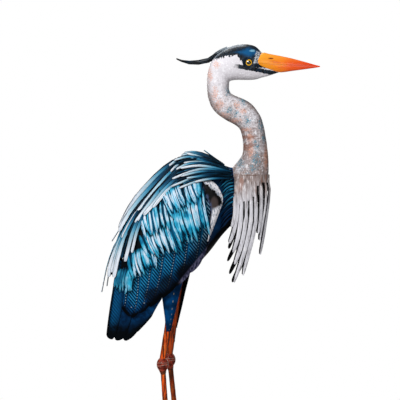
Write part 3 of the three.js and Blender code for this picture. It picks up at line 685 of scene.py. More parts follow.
for name, side in sides.items():
    ball = added(bpy.ops.mesh.primitive_uv_sphere_add, name + "EyeBall", radius=1,
                 segments=36, ring_count=18)
    for vertex in ball.data.vertices:
        c = vertex.co
        vertex.co = Vector((
            eyes["x"] + c.x * eyes["radius"],
            side * (eyes["out"] - eyes["sunk"] + c.z * eyes["bulge"]),
            eyes["z"] + c.y * eyes["radius"])) * metre
    dress(cleaned(smoothed(ball)), eyePaint(), "eye", name + "_eye")
    lid = added(bpy.ops.mesh.primitive_torus_add, name + "EyeLid", major_segments=36, minor_segments=10,
                major_radius=eyes["lidRadius"] * metre, minor_radius=eyes["lidTube"] * metre,
                rotation=(math.pi / 2, 0, 0),
                location=Vector((eyes["x"], side * eyes["lidOut"], eyes["z"])) * metre)
    bpy.ops.object.transform_apply()
    dress(smoothed(lid), lidPaint(), "black")
print("beak and eyes made")


# Crest: thin black strips that trail from the cap

crest = {
    "path": [(128, 1008), (104, 996), (88, 982), (65, 975.5), (42, 973), (20, 976), (1, 982)],
    "strips": 11, "half": 9, "ends": (0.35, 0.8), "widths": (10, 7), "drop": 2.5,
    "ribbons": [("leaf", 0, 1, 11.5), ("strip", 3, 0.62, 9), ("strip", -3, 0.5, 8)],   # lift, reach, width
}


def crestPaint():
    paint = Paint("crestPaint", roughness=0.4, coat=0.2)
    x, z = paint.x, paint.z
    streak = paint.grain(260, stretch=(0.2, 1, 1), detail=3)
    paint.base = paint.colour(streak.band(0.45, 0.7), "#05090e", "#1d2e3d")
    # grey along the top edge of the tuft: painted highlight
    crestHighlightLine = z - 0.985 - (x - 0.075) * 0.40
    paint.over((crestHighlightLine + (streak - 0.5) * 0.02).band(0.0, 0.006) * x.band(0.05, 0.07) * 0.8, "#8b959e")
    return paint.finish(streak, 0.4)


def crestStrips():
    pieces = []
    for i in range(crest["strips"]):
        share = i / (crest["strips"] - 1)
        end = 1 if i % 5 == 0 else mix(*crest["ends"], draw.random())
        spread = (share - 0.5) * 2
        drop = draw.uniform(-crest["drop"], crest["drop"])

        def where(t, end=end, spread=spread, drop=drop):
            x, z = onCurve(crest["path"], t * end)
            fan = 1 - 0.75 * t * end
            place = Vector((x, spread * crest["half"] * fan, z + (drop + 1.5) * fan * (1 - t)))
            return place, Vector((0, spread * 0.4, 1)).normalized()
        pieces.append(laid("leaf", where, mix(*crest["widths"], end), draw.random()))
    for side in (1, -1):                     # upright ribbons give the tuft its depth in side view
        for kind, lift, end, width in crest["ribbons"]:
            def where(t, side=side, lift=lift, end=end):
                x, z = onCurve(crest["path"], t * end)
                return Vector((x, side * mix(2, 4.5, t * end), z + lift * (1 - t))), Vector((0, side, 0))
            pieces.append(laid(kind, where, width, draw.random()))
    return pieces


grouped("crestTuft", crestStrips(), 40, crestPaint(), "black", "crest")


# Plumes: narrow strips that lie over the shoulder and hang over the wing, the same on both sides

plumeLooks = {                               # edge is how much of each side is dark
    "shoulder": {"tones": (0.35, 1.15), "edge": 0.62, "slim": 0.9},
    "back": {"tones": (0.95, 1.4), "edge": 0.32, "slim": 0.92},
}
plumePaths = {                               # width, lift over the coat at root and tip, side-view line
    "shoulder": [
        (9, (9, 12), [(127, 709), (94, 723), (62, 735), (28, 745)]),
        (9, (12, 15), [(129, 706), (94, 719), (55, 730), (11, 735)]),
        (9, (10, 14), [(131, 703), (94, 715), (62, 723), (21, 721)]),
        (9, (12, 18), [(132, 700), (94, 709), (55, 714), (13, 708)]),
        (9, (11, 17), [(133, 697), (97, 704), (53, 704), (-7, 682)]),
        (7.5, (12, 22), [(134, 694), (97, 699), (60, 699), (14, 688)]),
        (8, (10, 18), [(135, 691), (99, 694), (55, 688), (-10, 663)]),
        (7.5, (12, 22), [(135, 688), (102, 690), (70, 689), (28, 683)]),
        (8, (10, 17), [(135, 685), (104, 686), (65, 680), (9, 659)]),
        (8, (11, 20), [(134, 681), (104, 683), (75, 680), (48, 674)]),
        (8, (13, 19), [(110, 720), (70, 732), (30, 736), (-4, 728)]),
        (8, (14, 20), [(105, 712), (66, 720), (30, 718), (2, 705)]),
        (8, (8, 10), [(120, 716), (86, 733), (50, 744), (14, 741)]),
        (8, (7, 9), [(112, 722), (78, 740), (48, 748), (20, 746)]),
        (8, (9, 13), [(60, 735), (28, 738), (2, 728), (-16, 715)]),
        (8, (10, 14), [(58, 728), (26, 726), (4, 716), (-12, 700)]),
    ],
    "back": [
        (13, (5, 8), [(10, 735), (-22, 712), (-58, 680), (-98, 636), (-128, 584)]),
        (13, (4, 6), [(-6, 728), (-38, 702), (-74, 664), (-112, 616), (-140, 560)]),
        (13, (6, 13), [(6, 728), (-18, 706), (-45, 679), (-85, 635), (-134, 573)]),
        (12, (9, 17), [(11, 718), (-14, 696), (-43, 664), (-99, 593), (-131, 537)]),
        (12, (7, 17), [(16, 708), (-9, 686), (-38, 654), (-62, 623), (-98, 575)]),
        (12, (10, 21), [(21, 699), (-4, 677), (-31, 650), (-58, 615), (-77, 594)]),
        (10, (8, 18), [(26, 689), (1, 669), (-23, 650), (-54, 612)]),
        (12, (9, 15), [(0, 722), (-32, 694), (-66, 658), (-110, 606), (-140, 552)]),
        (13, (16, 22), [(-92, 604), (-120, 548), (-139, 497), (-151, 440)]),
        (11, (15, 19), [(-82, 606), (-106, 545), (-123, 480)]),
        (9, (17, 22), [(-76, 600), (-94, 552), (-106, 502)]),
        (11, (14, 17), [(-104, 596), (-136, 534), (-158, 483), (-165, 441)]),
        (11, (13, 17), [(-98, 600), (-130, 540), (-150, 480), (-157, 452)]),
        (9, (9, 12), [(-96, 622), (-128, 566), (-150, 506), (-160, 462)]),
    ],
}


def plumePaint():
    paint = Paint("plumePaint", roughness=0.4, specular=0.04)
    u, v, tone = paint.u, paint.v, paint.attribute("tone")
    off = paint.offCentre()
    fibre = paint.grain(1, where=paint.point(u * 9 + tone * 37, v * 2.4, tone * 9), detail=3)
    body = (v + (tone - 0.5) * 0.5 + (fibre - 0.5) * 0.4).band(0.12, 1.0)
    paint.base = paint.ramp(body, [
        (0.0, "#020910"), (0.2, "#0b3d5c"), (0.42, "#3f8cae"), (0.68, "#9cc0d0"), (0.95, "#d8dfe8")])
    paint.over(fibre.band(0.50, 0.64) * 0.55, "#135b80")
    paint.over((off - 1 + paint.attribute("edge")).band(0.0, 0.45) * 0.9, "#020a12")
    paint.over(off.band(0.74, 0.92), "#010305")
    paint.over(paint.attribute("under"), "#010203")
    return paint.finish(fibre, 0.4)


plumes = plumePaint()
for name, side in sides.items():
    for group, paths in plumePaths.items():
        pieces, looks = [], plumeLooks[group]
        for i, (width, lift, path) in enumerate(paths):
            tone = draw.uniform(*looks["tones"]) - (0.3 if i % 3 == 1 else 0)
            pieces.append(laid("blunt", onSide(path, side, lift), width * looks["slim"], tone))
            number(pieces[-1], "edge", looks["edge"])
        for (width, lift, path), neighbour in zip(paths, paths[1:]):     # dark strips between the light ones: painted shade in the gaps
            middle = [[(a[k] + b[k]) / 2 for k in (0, 1)] for a, b in zip(path, neighbour[2])]
            line = onSide(middle, side, (lift[0] - 2.5, lift[1] - 4))
            pieces.append(laid("strip", line, width, draw.uniform(-0.7, -0.3)))
            number(pieces[-1], "edge", 0.9)
        grouped(name + group.capitalize() + "Plumes", pieces, 40, plumes, "plume", f"{name}_{group}_plumes")


# Ridge: a keel along the back line with thin strips that rise from it

ridge = {
    "keel": [5, 20, 45, 80, 130, 185, 235, 285], "keelWidth": 24,
    # start along the back, y at root and tip, width, and the side-view line
    "plumes": [
        (11, (-8, -14), 8, [(108, 724), (92, 736), (69, 753)]),
        (11, (7, 13), 11, [(88, 731), (58, 742), (30, 747)]),
        (30, (-5, -9), 12, [(40, 741), (8, 735), (-20, 713)]),
        (70, (6, 11), 11, [(-25, 707), (-56, 680), (-103, 639)]),
        (100, (-7, -11), 12, [(-46, 681), (-78, 650), (-108, 612)]),
        (150, (2, 2), 13, [(-86, 636), (-110, 605), (-132, 566)]),
        (190, (6, 10), 10, [(-106, 607), (-131, 571), (-160, 526)]),
        (225, (-6, -9), 12, [(-124, 574), (-150, 517), (-164, 470)]),
        (255, (6, 7), 9, [(-136, 546), (-159, 492), (-172, 414)]),
        (268, (-4, -4), 8, [(-142, 535), (-168, 475), (-184, 400)]),
    ],
}


def inPlane(path, y):                        # a line near the middle plane, its face turned up and back
    def where(t):
        x, z = onCurve(path, t)
        way = heading(path, t, 0.02)
        return Vector((x, mix(*y, t), z)), Vector((way.z, 0, -way.x))
    return where


def backPoint(u, rise):
    place = shoulder + alongBody * u + acrossBody * (trunk["back"](u) + rise)
    return place.x, place.z


def ridgeStrips():
    keel = inPlane([backPoint(u, -1) for u in ridge["keel"]], (0, 0))
    pieces = [laid("wire", keel, ridge["keelWidth"], 0.1)]
    for start, y, width, path in ridge["plumes"]:
        pieces.append(laid("strip", inPlane([backPoint(start, 0.8), *path], y), width, draw.random()))
    return pieces


grouped("ridgePlumes", ridgeStrips(), 40, plumes, "plume", "ridge_plumes")
print("plumes made")


# Coverts: rows of short pointed feathers over a sheet painted dark as the shade between them, each row a
# step above the one below

# from the lowest layer up: ends of the root line, ends of the line of tips, feathers, lift, and how pale
covertRows = [
    ([(-142, 460), (-98, 466)], [(-156, 410), (-108, 400)], 9, 9, 0.15),
    ([(-116, 498), (-50, 530)], [(-102, 438), (-40, 466)], 11, 10, 0.6),
    ([(-88, 545), (2, 584)], [(-62, 484), (22, 508)], 14, 11, 0.65),
    ([(-14, 606), (66, 656)], [(10, 524), (84, 550)], 16, 11.5, 0.45),
    ([(-84, 600), (-24, 630)], [(-70, 538), (-14, 560)], 10, 12, 0.7),
    ([(-40, 652), (58, 684)], [(-12, 586), (68, 636)], 16, 13, 0.65),
]
covertFeathers = {                           # the darker layer first, its darkness painted shade, then the light one over it
    "reach": [(0.9, 1.08), (0.8, 1.12)], "width": [(5, 7), (8, 10.5)], "rootSlip": 3, "tipSlip": 5,
}
covertSheet = {
    "upper": [(64, 674), (42, 669), (18, 663), (-6, 653), (-34, 634), (-63, 605), (-89, 571), (-111, 531),
              (-133, 476)],
    "lower": [(76, 578), (54, 562), (32, 551), (10, 534), (-18, 512), (-44, 494), (-72, 466), (-104, 440),
              (-138, 430)],
    "lift": 7.6, "columns": 24, "rows": 8, "thickness": 1.2,
}


def covertUnder(side):
    def place(across, down):
        x, z = between(covertSheet["upper"], covertSheet["lower"], across, down)
        return onCoat(x, z, side, covertSheet["lift"] + wingRise(x, z))[0]
    sheet = gridPiece("covertSheet", covertSheet["columns"], covertSheet["rows"], place)
    walled(sheet, covertSheet["thickness"])
    number(sheet, "under", 1.0)
    number(sheet, "tone", 0.0)
    return sheet


def covertPaint():
    paint = Paint("covertPaint", roughness=0.42)
    x, z = paint.x, paint.z
    u, v, tone = paint.u, paint.v, paint.attribute("tone")
    fibre = paint.grain(1, where=paint.point(u * 4 + tone * 61, v * 2.6 + tone * 3, tone * 17), detail=2)
    brush = paint.grain(1, where=paint.point(u * 9 + tone * 23, v * 2 + tone * 7, tone * 31), detail=1)
    cloud = paint.grain(30, detail=2)
    off = paint.offCentre()
    mood = tone + (cloud - 0.5) * 1.2
    teal = paint.colour((mood + (fibre - 0.5) * 0.8).band(0.0, 0.55), "#066089", "#16b4de")
    pale = paint.colour(mood.band(0.28, 0.66), "#55bcd8", "#d9dee8")
    core = off.band(1.0, 0.35) * v.band(0.02, 0.25) * (v + (fibre - 0.5) * 0.9).band(1.0, 0.66)
    core = core * brush.band(0.36, 0.52)
    paint.base = paint.colour(core * mood.band(0.15, 0.45), teal, pale)
    paint.over(brush.band(0.48, 0.34) * 0.5, "#073e63")
    paint.over(off.band(0.66, 1.0) * 0.85, "#021c2f")
    # darker at the root, under the row above: painted shade
    paint.over(v.band(0.16, 0.0) * 0.7, "#03182a")
    paint.over(v.band(0.78, 0.95) * 0.95, "#01060b")
    # the lower layer is darkened: painted shade
    paint.over(tone.band(0.0, -0.3) * 0.85, "#010d16")
    paint.over(paint.patches([(-148, 432, 34, 40)], (cloud - 0.5) * 0.8) * 0.45, "#1f4a60")
    # the sheet under the feathers is painted as the shade between them
    gapShade = paint.colour((x + (z - 0.6) * 0.3).band(-0.03, 0.02), "#010509", "#052a42")
    paint.over(paint.attribute("under"), gapShade)
    return paint.finish(fibre, 0.5)


def covertFeather(row, layer, i, side):
    (roots, tips, count, lift, pale), feather = row, covertFeathers
    share = (i + layer * 0.5 + draw.uniform(-0.25, 0.25)) / count
    root = [mix(*pair, share) for pair in zip(*roots)]
    tip = [mix(*pair, share) for pair in zip(*tips)]
    reach = draw.uniform(*feather["reach"][layer])
    tip = slipped([mix(root[k], tip[k], reach) for k in (0, 1)], feather["tipSlip"])
    root = slipped(root, feather["rootSlip"])
    bow = ((root[0] + tip[0]) / 2 - draw.uniform(-1, 4), (root[1] + tip[1]) / 2 - draw.uniform(0, 3))
    line = onSide([root, bow, tip], side, (lift, lift + 1.2 + layer), 0.25, rise=True)
    tone = draw.random() * pale + 0.2 if layer else draw.uniform(-0.3, -0.1)
    return laid("leaf", line, draw.uniform(*feather["width"][layer]), tone)


coverts = covertPaint()
for name, side in sides.items():
    pieces = [covertUnder(side)]
    for row in covertRows:
        for layer in (0, 1):
            pieces += [covertFeather(row, layer, i, side) for i in range(row[2] + 1 - layer)]
    grouped(name + "Coverts", pieces, 40, coverts, "covert", name + "_coverts")
print("coverts made")


# Flight feathers: long feathers, each a step above the one behind, with a raised shaft

flight = {
    "root": [(111, 632), (89, 662), (60, 676), (26, 669), (-8, 654), (-42, 630), (-74, 598), (-106, 555),
             (-130, 508)],
    "middle": [(99, 576), (80, 562), (53, 549), (21, 525), (-8, 508), (-38, 491), (-69, 459), (-99, 422),
               (-126, 415)],
    "tip": [(77, 529), (65, 480), (35, 446), (1, 414), (-38, 382), (-68, 362), (-93, 347), (-112, 340),
            (-134, 362)],
    "count": 8, "overlap": 0.16, "thickness": 1.4, "lift": 0.9, "round": 0.07, "rows": 26,
}
tail = {
    "root": [(-34, 388), (-62, 414), (-92, 440), (-120, 466), (-143, 486)],
    "middle": [(-50, 362), (-80, 350), (-108, 353), (-136, 360), (-163, 368)],
    "tip": [(-62, 338), (-84, 314), (-102, 294), (-124, 280), (-142, 281), (-152, 283), (-160, 284),
            (-173, 288)],
    "count": 4, "overlap": 0.12, "thickness": 1.4, "lift": 0.6, "round": 0.10, "rows": 20,
}
blade = {"shaft": 0.9, "crown": 1.2, "step": 1.6, "columns": 8}  # step is how far it lies over the next


def fanPlace(fan, share, reach):             # on a curve from the root line by the middle line to the tips
    a, b, c = (1 - reach) * (1 - 2 * reach), 4 * reach * (1 - reach), reach * (2 * reach - 1)
    root, middle, tip = (onCurve(fan[key], share) for key in ("root", "middle", "tip"))
    return [a * root[k] + b * middle[k] + c * tip[k] for k in (0, 1)]


def bladePiece(fan, index, side, rising):
    start, width = index / fan["count"], 1 / fan["count"]

    def place(across, down):
        share = start + width * mix(-fan["overlap"], 1 + fan["overlap"], across)
        edge = (2 * across - 1) ** 2
        x, z = fanPlace(fan, share, down * (1 - fan["round"] * edge ** 1.5))
        shaft = blade["shaft"] * max(0, 1 - abs(across - 0.5) * 12) * min(1, 3 * (1 - down))
        rise = blade["crown"] * (1 - edge) + shaft + blade["step"] * (1 - across)
        return onCoat(x, z, side, fan["lift"] + (wingRise(x, z) if rising else 0) + rise)[0]
    piece = walled(gridPiece("blade", blade["columns"], fan["rows"], place), fan["thickness"])
    number(piece, "tone", draw.random())
    return piece


def flightPaint():
    paint = Paint("flightPaint", roughness=0.36, specular=0.025)
    u, x, z = paint.u, paint.x, paint.z
    v = paint.v * (1 - abs(u * 2 - 1) ** 3.0 * 0.07)      # straight across, though the tip is round
    soft = paint.grain(30, detail=3)
    paint.base = paint.colour((v + (soft - 0.5) * 0.2).band(0.45, 0.9), "#07608f", "#043766")
    paint.over(soft.band(0.42, 0.62) * 0.5, "#05355c")
    # diagonal barbs, then a plain band, then a line of dots along each shaft
    slant = abs((x * 130 + z * 105 + paint.attribute("tone") * 9).fraction() - 0.5)
    barbs = u.band(0.56, 0.46)
    paint.over(slant.band(0.20, 0.36) * barbs * 0.9, "#01101f")
    line = slant.band(0.20, 0.08) * barbs * (v + (soft - 0.5) * 0.6).band(0.88, 0.50)
    bright = paint.colour(x.band(0.03, 0.07), "#2f94c0", "#93bccb")
    paint.over(line * 0.75, bright)
    dot = (z * 150).fraction()
    spot = ((dot - 0.5) ** 2.0 + ((u - 0.68) * 7) ** 2.0) ** 0.5
    paint.over(u.band(0.56, 0.60) * u.band(0.80, 0.76) * 0.75, "#020f24")
    paint.over(spot.band(0.24, 0.12) * 0.75 * v.band(0.95, 0.75), "#a9c6d2")
    dark = paint.patches([(-20, 420, 24, 32), (26, 452, 26, 26), (-52, 398, 28, 20)], soft * 1.8 - 0.9)
    paint.over(dark * 0.8, "#0a0b0f")
    paint.over((v + (soft - 0.5) * 0.3).band(0.80, 0.95), "#030508")
    # the lower edge of the wing is black, then purple-grey
    edge = (x - 0.058) * 0.779 - (z - 0.479) * 0.628
    span = abs((x - 0.058) * 0.628 + (z - 0.479) * 0.779)
    hairs = paint.grain(170, stretch=(1, 1, 0.5), detail=3)
    paint.over((edge + hairs * 0.012).band(-0.034, -0.014) * span.band(0.085, 0.055) * 0.8, "#05070b")
    rim = (edge + hairs * 0.006).band(-0.007, -0.003) * span.band(0.078, 0.060)
    paint.over(rim, paint.colour(hairs.band(0.42, 0.60), "#56556e", "#23253a"))
    # two small pale dots near the feather tips: painted highlights
    spots = paint.patches([(-77, 377, 2.2, 1.4), (-109, 366, 2.0, 1.3)])
    paint.over(spots * 0.7, "#93a0aa")
    return paint.finish(line * 0.6 + soft * 0.3, 0.35)


def tailPaint():
    paint = Paint("tailPaint", roughness=0.38, specular=0.025)
    x, z, v = paint.x, paint.z, paint.v
    soft = paint.grain(34, detail=4)
    rear = (x - (z - 0.36) * 0.12).band(-0.130, -0.150)
    paint.base = paint.colour(soft.band(0.38, 0.62), "#041c38", "#083f70")
    paint.over(rear * 0.8, "#0a4f7c")
    slant = abs((x * 130 + z * 105).fraction() - 0.5)
    barbs = slant.band(0.18, 0.36) * paint.attribute("tone").band(-0.5, 0.0)
    paint.over(barbs * 0.55 * (0.15 + rear) * (soft + 0.1).band(0.35, 0.55), "#020d1a")
    paint.over((v + (soft - 0.5) * 0.6).band(0.50, 0.88), "#04070b")
    paint.over(paint.offCentre().band(0.80, 0.97) * 0.8, "#020509")
    edge = -0.159 - (0.390 - z) * 0.156
    paint.over((x - edge).band(0.0075, 0.0035) * 0.9, "#010204")
    return paint.finish(soft, 0.3)


def spinePlace(across, down):                # the fold that joins the tail's two sides round the back
    x, z = fanPlace(tail, 0.985, down * 0.95)
    half = onCoat(x, z, 1, 0.8)[0].y
    return Vector((x - 2.5 * math.cos((across - 0.5) * math.pi), half * (2 * across - 1), z))


flightFinish = flightPaint()
for name, side in sides.items():
    pieces = [bladePiece(flight, i, side, True) for i in range(flight["count"])]
    grouped(name + "FlightFeathers", pieces, 50, flightFinish, "flight", name + "_flight_feathers")

pieces = [bladePiece(tail, i, side, False) for side in sides.values() for i in range(tail["count"])]
pieces.append(walled(gridPiece("tailSpine", 10, 14, spinePlace), tail["thickness"]))
number(pieces[-1], "tone", -1.0)
grouped("tailBlades", pieces, 50, tailPaint(), "navy", "tail")
print("flight feathers and tail made")


# Breast: short curved feathers that sweep back from the bib over the body's front

breast = {
    "roots": [(138, 704), (142, 672), (144, 640), (147, 592)],
    "tips": [(104, 684), (108, 650), (110, 615), (108, 558)],
    "count": 13, "width": 9, "lift": (0.6, 1.6), "bow": (2, 7), "slip": 4,
}


def breastPaint():
    paint = Paint("breastPaint", roughness=0.38, specular=0.04)
    u, v, tone = paint.u, paint.v, paint.attribute("tone")
    fibre = paint.grain(1, where=paint.point(u * 5 + tone * 41, v * 2, tone * 13), detail=2)
    sheen = fibre.band(0.40, 0.62) * (tone + v * 0.4).band(-0.2, 0.8)
    paint.base = paint.colour(sheen, "#04243c", "#2a86ae")
    paint.over(paint.z.band(0.645, 0.595), "#06274b")
    paint.over(paint.offCentre().band(0.25, 0.7), "#010508")
    paint.over(v.band(0.18, 0.0) * 0.7, "#01050a")
    paint.over(paint.attribute("under"), "#020407")
    return paint.finish(fibre, 0.4)


breastFinish = breastPaint()
for name, side in sides.items():
    pieces = []
    for i in range(breast["count"]):
        share = i / (breast["count"] - 1)
        root, tip = onCurve(breast["roots"], share), onCurve(breast["tips"], share)
        tip = slipped(tip, breast["slip"])
        bow = [(root[k] + tip[k]) / 2 + breast["bow"][k] for k in (0, 1)]
        line = onSide([root, bow, tip], side, breast["lift"], 0.1, skin=trunk)
        pieces.append(laid("leaf", line, breast["width"], draw.random()))
    grouped(name + "BreastFeathers", pieces, 40, breastFinish, "navy")


# Shoulder patch: a crowned plate, white in front and below, dark in the middle

patch = {
    "front": [(66, 681), (91, 675), (108, 656), (116, 629), (107, 600), (93, 562), (80, 529)],
    "rear": [(67, 674), (66, 655), (77, 634), (84, 612), (83, 588), (81, 562), (78, 530)],
    "lift": 8, "crown": 5, "thickness": 1.6,
}


def patchPaint():
    paint = Paint("patchPaint", roughness=0.42)
    u, v = paint.u, paint.v                  # u runs down the plate, v from its rear to its front edge
    hairs = paint.grain(230, stretch=(1, 1, 0.5), detail=3)
    ragged = (hairs - 0.5) * 0.9
    white = paint.colour(hairs.band(0.45, 0.62), "#dcdbe1", "#858c99")
    # the dark middle carries a soft brown painted sheen: a painted highlight
    dark = paint.colour(paint.patches([(95, 620, 11, 20)], ragged * 0.3) * 0.42, "#050507", "#5a4d4b")
    top = (v - 0.36 - (u - 0.08) * 1.20 + ragged * 0.7).band(0.0, 0.10)
    low = (u + ragged * 0.12).band(0.53, 0.59) * (v + ragged * 0.35).band(0.10, 0.30)
    paint.base = paint.colour(top | low, dark, white)
    rim = (v + ragged * 0.3).band(0.24, 0.10) * hairs.band(0.42, 0.60)
    paint.over(rim, "#3c4866")
    return paint.finish(hairs, 0.45)


patchFinish = patchPaint()
for name, side in sides.items():
    def place(across, down, side=side):
        x, z = between(patch["rear"], patch["front"], across, down)
        return onCoat(x, z, side, patch["lift"] + patch["crown"] * math.sin(math.pi * down))[0]
    shield = walled(gridPiece(name + "ShoulderPatch", 28, 12, place), patch["thickness"])
    dress(smoothed(shield, 50), patchFinish, "patch", name + "_shoulder_patch")


# Bib: a flared skirt under the neck's seam, and the long strips that hang from it

skirt = {
    "rear": smoothLine([(420, 128), (500, 118), (560, 112), (620, 100), (664, 112), (692, 134)]),
    "front": smoothLine([(420, 164), (445, 180), (497, 210), (536, 219), (573, 225), (613, 230),
                         (647, 233.5), (692, 234)]),
    "half": smoothLine([(420, 17), (460, 26), (500, 33), (550, 42), (600, 49), (645, 51.5), (692, 43.5)]),
    "hem": (590, 660), "scallop": 7, "drop": 6, "thickness": 1.4,
    "shadeLining": {"inset": 7, "middle": 600, "slope": 40},
    "shadedSlits": [(168, 598, 3.0, 17), (179.5, 599, 3.0, 16)],
}


def onSkirt(x, z, side, stand):
    def spread(px, pz):
        rear, front = skirt["rear"](pz), skirt["front"](pz)
        share = (px - (rear + front) / 2) / ((front - rear) / 2)
        room = 1 - share * share
        return skirt["half"](pz) * math.sqrt((room + math.sqrt(room * room + 0.004)) / 2)
    depth = spread(x, z)
    normal = Vector((depth - spread(x + 1, z), side, depth - spread(x, z + 1))).normalized()
    return Vector((x, side * depth, z)) + normal * stand, normal


def chestPaint():
    paint = Paint("chestPaint", roughness=0.5, coat=0.08)
    x, z, strip = paint.x, paint.z, paint.attribute("strip")
    streak = paint.grain(210, stretch=(1, 1, 0.10), detail=4, rough=0.65)
    broad = paint.grain(70, stretch=(1, 1, 0.22), detail=2)
    paint.base = paint.colour((z + (broad - 0.5) * 0.06).band(0.60, 0.69), "#cfced5", "#90807c")
    upper = z.band(0.60, 0.66)
    paint.over(streak.band(0.51, 0.64) * (0.40 + upper * 0.35), "#5d514e")
    paint.over(streak.band(0.47, 0.36) * 0.7, "#efedf0")
    paint.over(paint.offCentre().band(0.84, 1.0) * strip * (0.55 - upper * 0.45), "#1d1b1c")
    paint.over(broad.band(0.50, 0.62) * 0.35 * z.band(0.63, 0.68), "#a5694f")
    seam = abs(z - 0.6910).band(0.0018, 0.0006) * x.band(0.160, 0.166)
    paint.over(seam * x.band(0.205, 0.198) * 0.7, "#5e4238")
    # black slits on the strips and bib: painted shade in the gaps between strips
    paint.over(paint.patches(skirt["shadedSlits"], (streak - 0.5) * 0.5), "#050505")
    slitShade = (z.band(0.6745, 0.6725) * x.band(0.2125, 0.2135) * x.band(0.2295, 0.2285)
            + z.band(0.6665, 0.6645) * x.band(0.1995, 0.2005) * x.band(0.2055, 0.2045))
    paint.over(slitShade * (1 - strip), "#050505")      # painted shade: the bib is black behind the slits
    # the lining (painted shade behind the strips) and the inner strips are near black
    paint.over(paint.attribute("under"), "#020203")
    return paint.finish(streak + broad * 0.5, 0.5)


chest = {                                    # width and side-view line of each strip, from front to rear
    "outer": [
        (11, [(230.5, 690), (230.5, 650), (226, 616), (219, 573), (213, 536), (205, 497)]),
        (8.8, [(221.5, 688), (221.7, 650), (219.5, 616), (213, 580), (205, 531)]),
        (10.5, [(209, 684), (209, 645), (208.5, 613), (206, 581), (201, 548)]),
        (10.5, [(197, 668), (196, 630), (197, 600), (195, 568), (187, 531), (176, 487), (165, 445)]),
        (10.5, [(185, 660), (185, 618), (184, 576), (177, 536), (166, 492), (145, 427)]),
        (10.5, [(173, 650), (174, 610), (171, 568), (165, 531), (156, 499), (147, 472)]),
        (10.5, [(162, 642), (162, 605), (159, 568), (154, 536), (144, 502)]),
        (9.5, [(152, 632), (153, 606), (150, 581), (144, 551), (135, 524)]),
        (9, [(146, 650), (147, 618), (146, 590), (140, 564)]),
    ],
    "inner": [
        (8, [(156, 620), (152, 572), (141, 539), (129, 509)]),
        (8, [(169, 620), (156, 529), (141, 504), (126, 478)]),
        (9, [(181, 612), (166, 517), (151, 483), (131, 446)]),
        (9, [(192, 610), (174, 495), (159, 461), (139, 425)]),
    ],
    "stand": [(2.2, 5.5), (1.2, 4.0)], "innerStand": (-3, -5),       # off the skirt at root and tip
}
chestFinish = chestPaint()


def hanging(path, side, stand):
    def where(t):
        x, z = onCurve(path, t)
        sunk = 5.4 * max(0, 1 - t / 0.14) ** 2           # the root comes out of the bib's sheet
        return onSkirt(x, z, side, mix(*stand, t) - sunk)
    return where


def skirtOval(z, inset, angle):
    rear, front = skirt["rear"](z) + inset, skirt["front"](z) - inset
    return oval(Vector(((rear + front) / 2, 0, z)), Vector(((front - rear) / 2, 0, 0)),
                Vector((0, skirt["half"](z) - inset, 0)), angle)


def bibPlace(across, down):
    angle = 2 * math.pi * across
    hem = mix(*skirt["hem"], (1 + math.cos(angle)) / 2)
    hem += skirt["scallop"] * abs(math.sin(angle * 9)) - skirt["drop"]
    return skirtOval(mix(neck["seam"] + 1.5, hem, down), 0, angle)


def shadeLiningPlace(across, down):               # a dark lining that shows between the strips: a sheet of painted shade
    angle, shadeLining = 2 * math.pi * across, skirt["shadeLining"]
    z = mix(neck["seam"] - 4, shadeLining["middle"] + shadeLining["slope"] * math.cos(angle), down)
    return skirtOval(z, shadeLining["inset"], angle)


bib = walled(gridPiece("bibSkirt", 108, 16, bibPlace), skirt["thickness"])
shadeLining = cleaned(gridPiece("bibShadeLining", 48, 6, shadeLiningPlace))
number(bib, "under", 0.0)
number(bib, "strip", 0.0)
number(shadeLining, "under", 1.0)
grouped("bibSkirt", [bib, shadeLining], 50, chestFinish, "cream", "bib")
for name, side in sides.items():
    pieces = []
    for i, (width, path) in enumerate(chest["outer"]):
        pieces.append(laid("strip", hanging(path, side, chest["stand"][i % 2]), width, draw.random()))
        number(pieces[-1], "strip", 1.0)
    for width, path in chest["inner"]:       # black on both faces
        pieces.append(laid("strip", hanging(path, side, chest["innerStand"]), width, 0.5))
        number(pieces[-1], "under", 1.0)
    grouped(name + "ChestPlumes", pieces, 40, chestFinish, "cream", name + "_chest_plumes")
print("bib made")


# Legs

legs = {
    "spread": 28, "shank": 6.4, "upper": 7.9, "kneeShift": 2, "hipShift": 5,
    "left": {"hip": (18, 452), "knee": (-16.5, 227), "foot": (5, 22)},
    "right": {"hip": (7, 452), "knee": (-32.5, 223), "foot": (-19, 22)},
    "weld": {"x": -10, "z": 275, "radius": 7},           # a drop of weld on the far leg
}
knees = {
    "radius": 14.2, "stretch": 1.25, "collar": {"drop": 11, "end": 0.125, "top": 10.5, "bottom": 6.2},
    "wires": [(0.0, 8), (0.15, -3), (1.25, 0), (-1.2, 0), (1.57, 2)], "wire": 0.045,     # tilt and height
}
thighs = {                                   # rise, forward, half width and bulge of each level, from below
    "levels": [(0, -1, 7, 11.4), (27, 2, 10.5, 11.8), (54, 3.6, 15.5, 12.4), (95, 5.4, 23, 13),
               (128, 7, 30, 13.4), (165, 9, 36, 13.4)],
    "start": 0.36, "wall": 1.6, "rim": 1.2,
}
feet = {
    "hub": 9.5, "rise": 12, "toes": [(0.58, 84), (0.13, 98), (-0.28, 82), (math.pi, 50)],    # turn, reach
    "sections": [(0, 10, 5.5), (0.2, 8, 5.2), (0.4, 6.6, 5.2), (0.6, 5.6, 4.4), (0.8, 4.6, 3.8),
                 (0.93, 3.6, 3.0), (1, 2.4, 1.2)],
}
plate = {"length": 330, "width": 240, "thickness": 10, "bevel": 2.5}


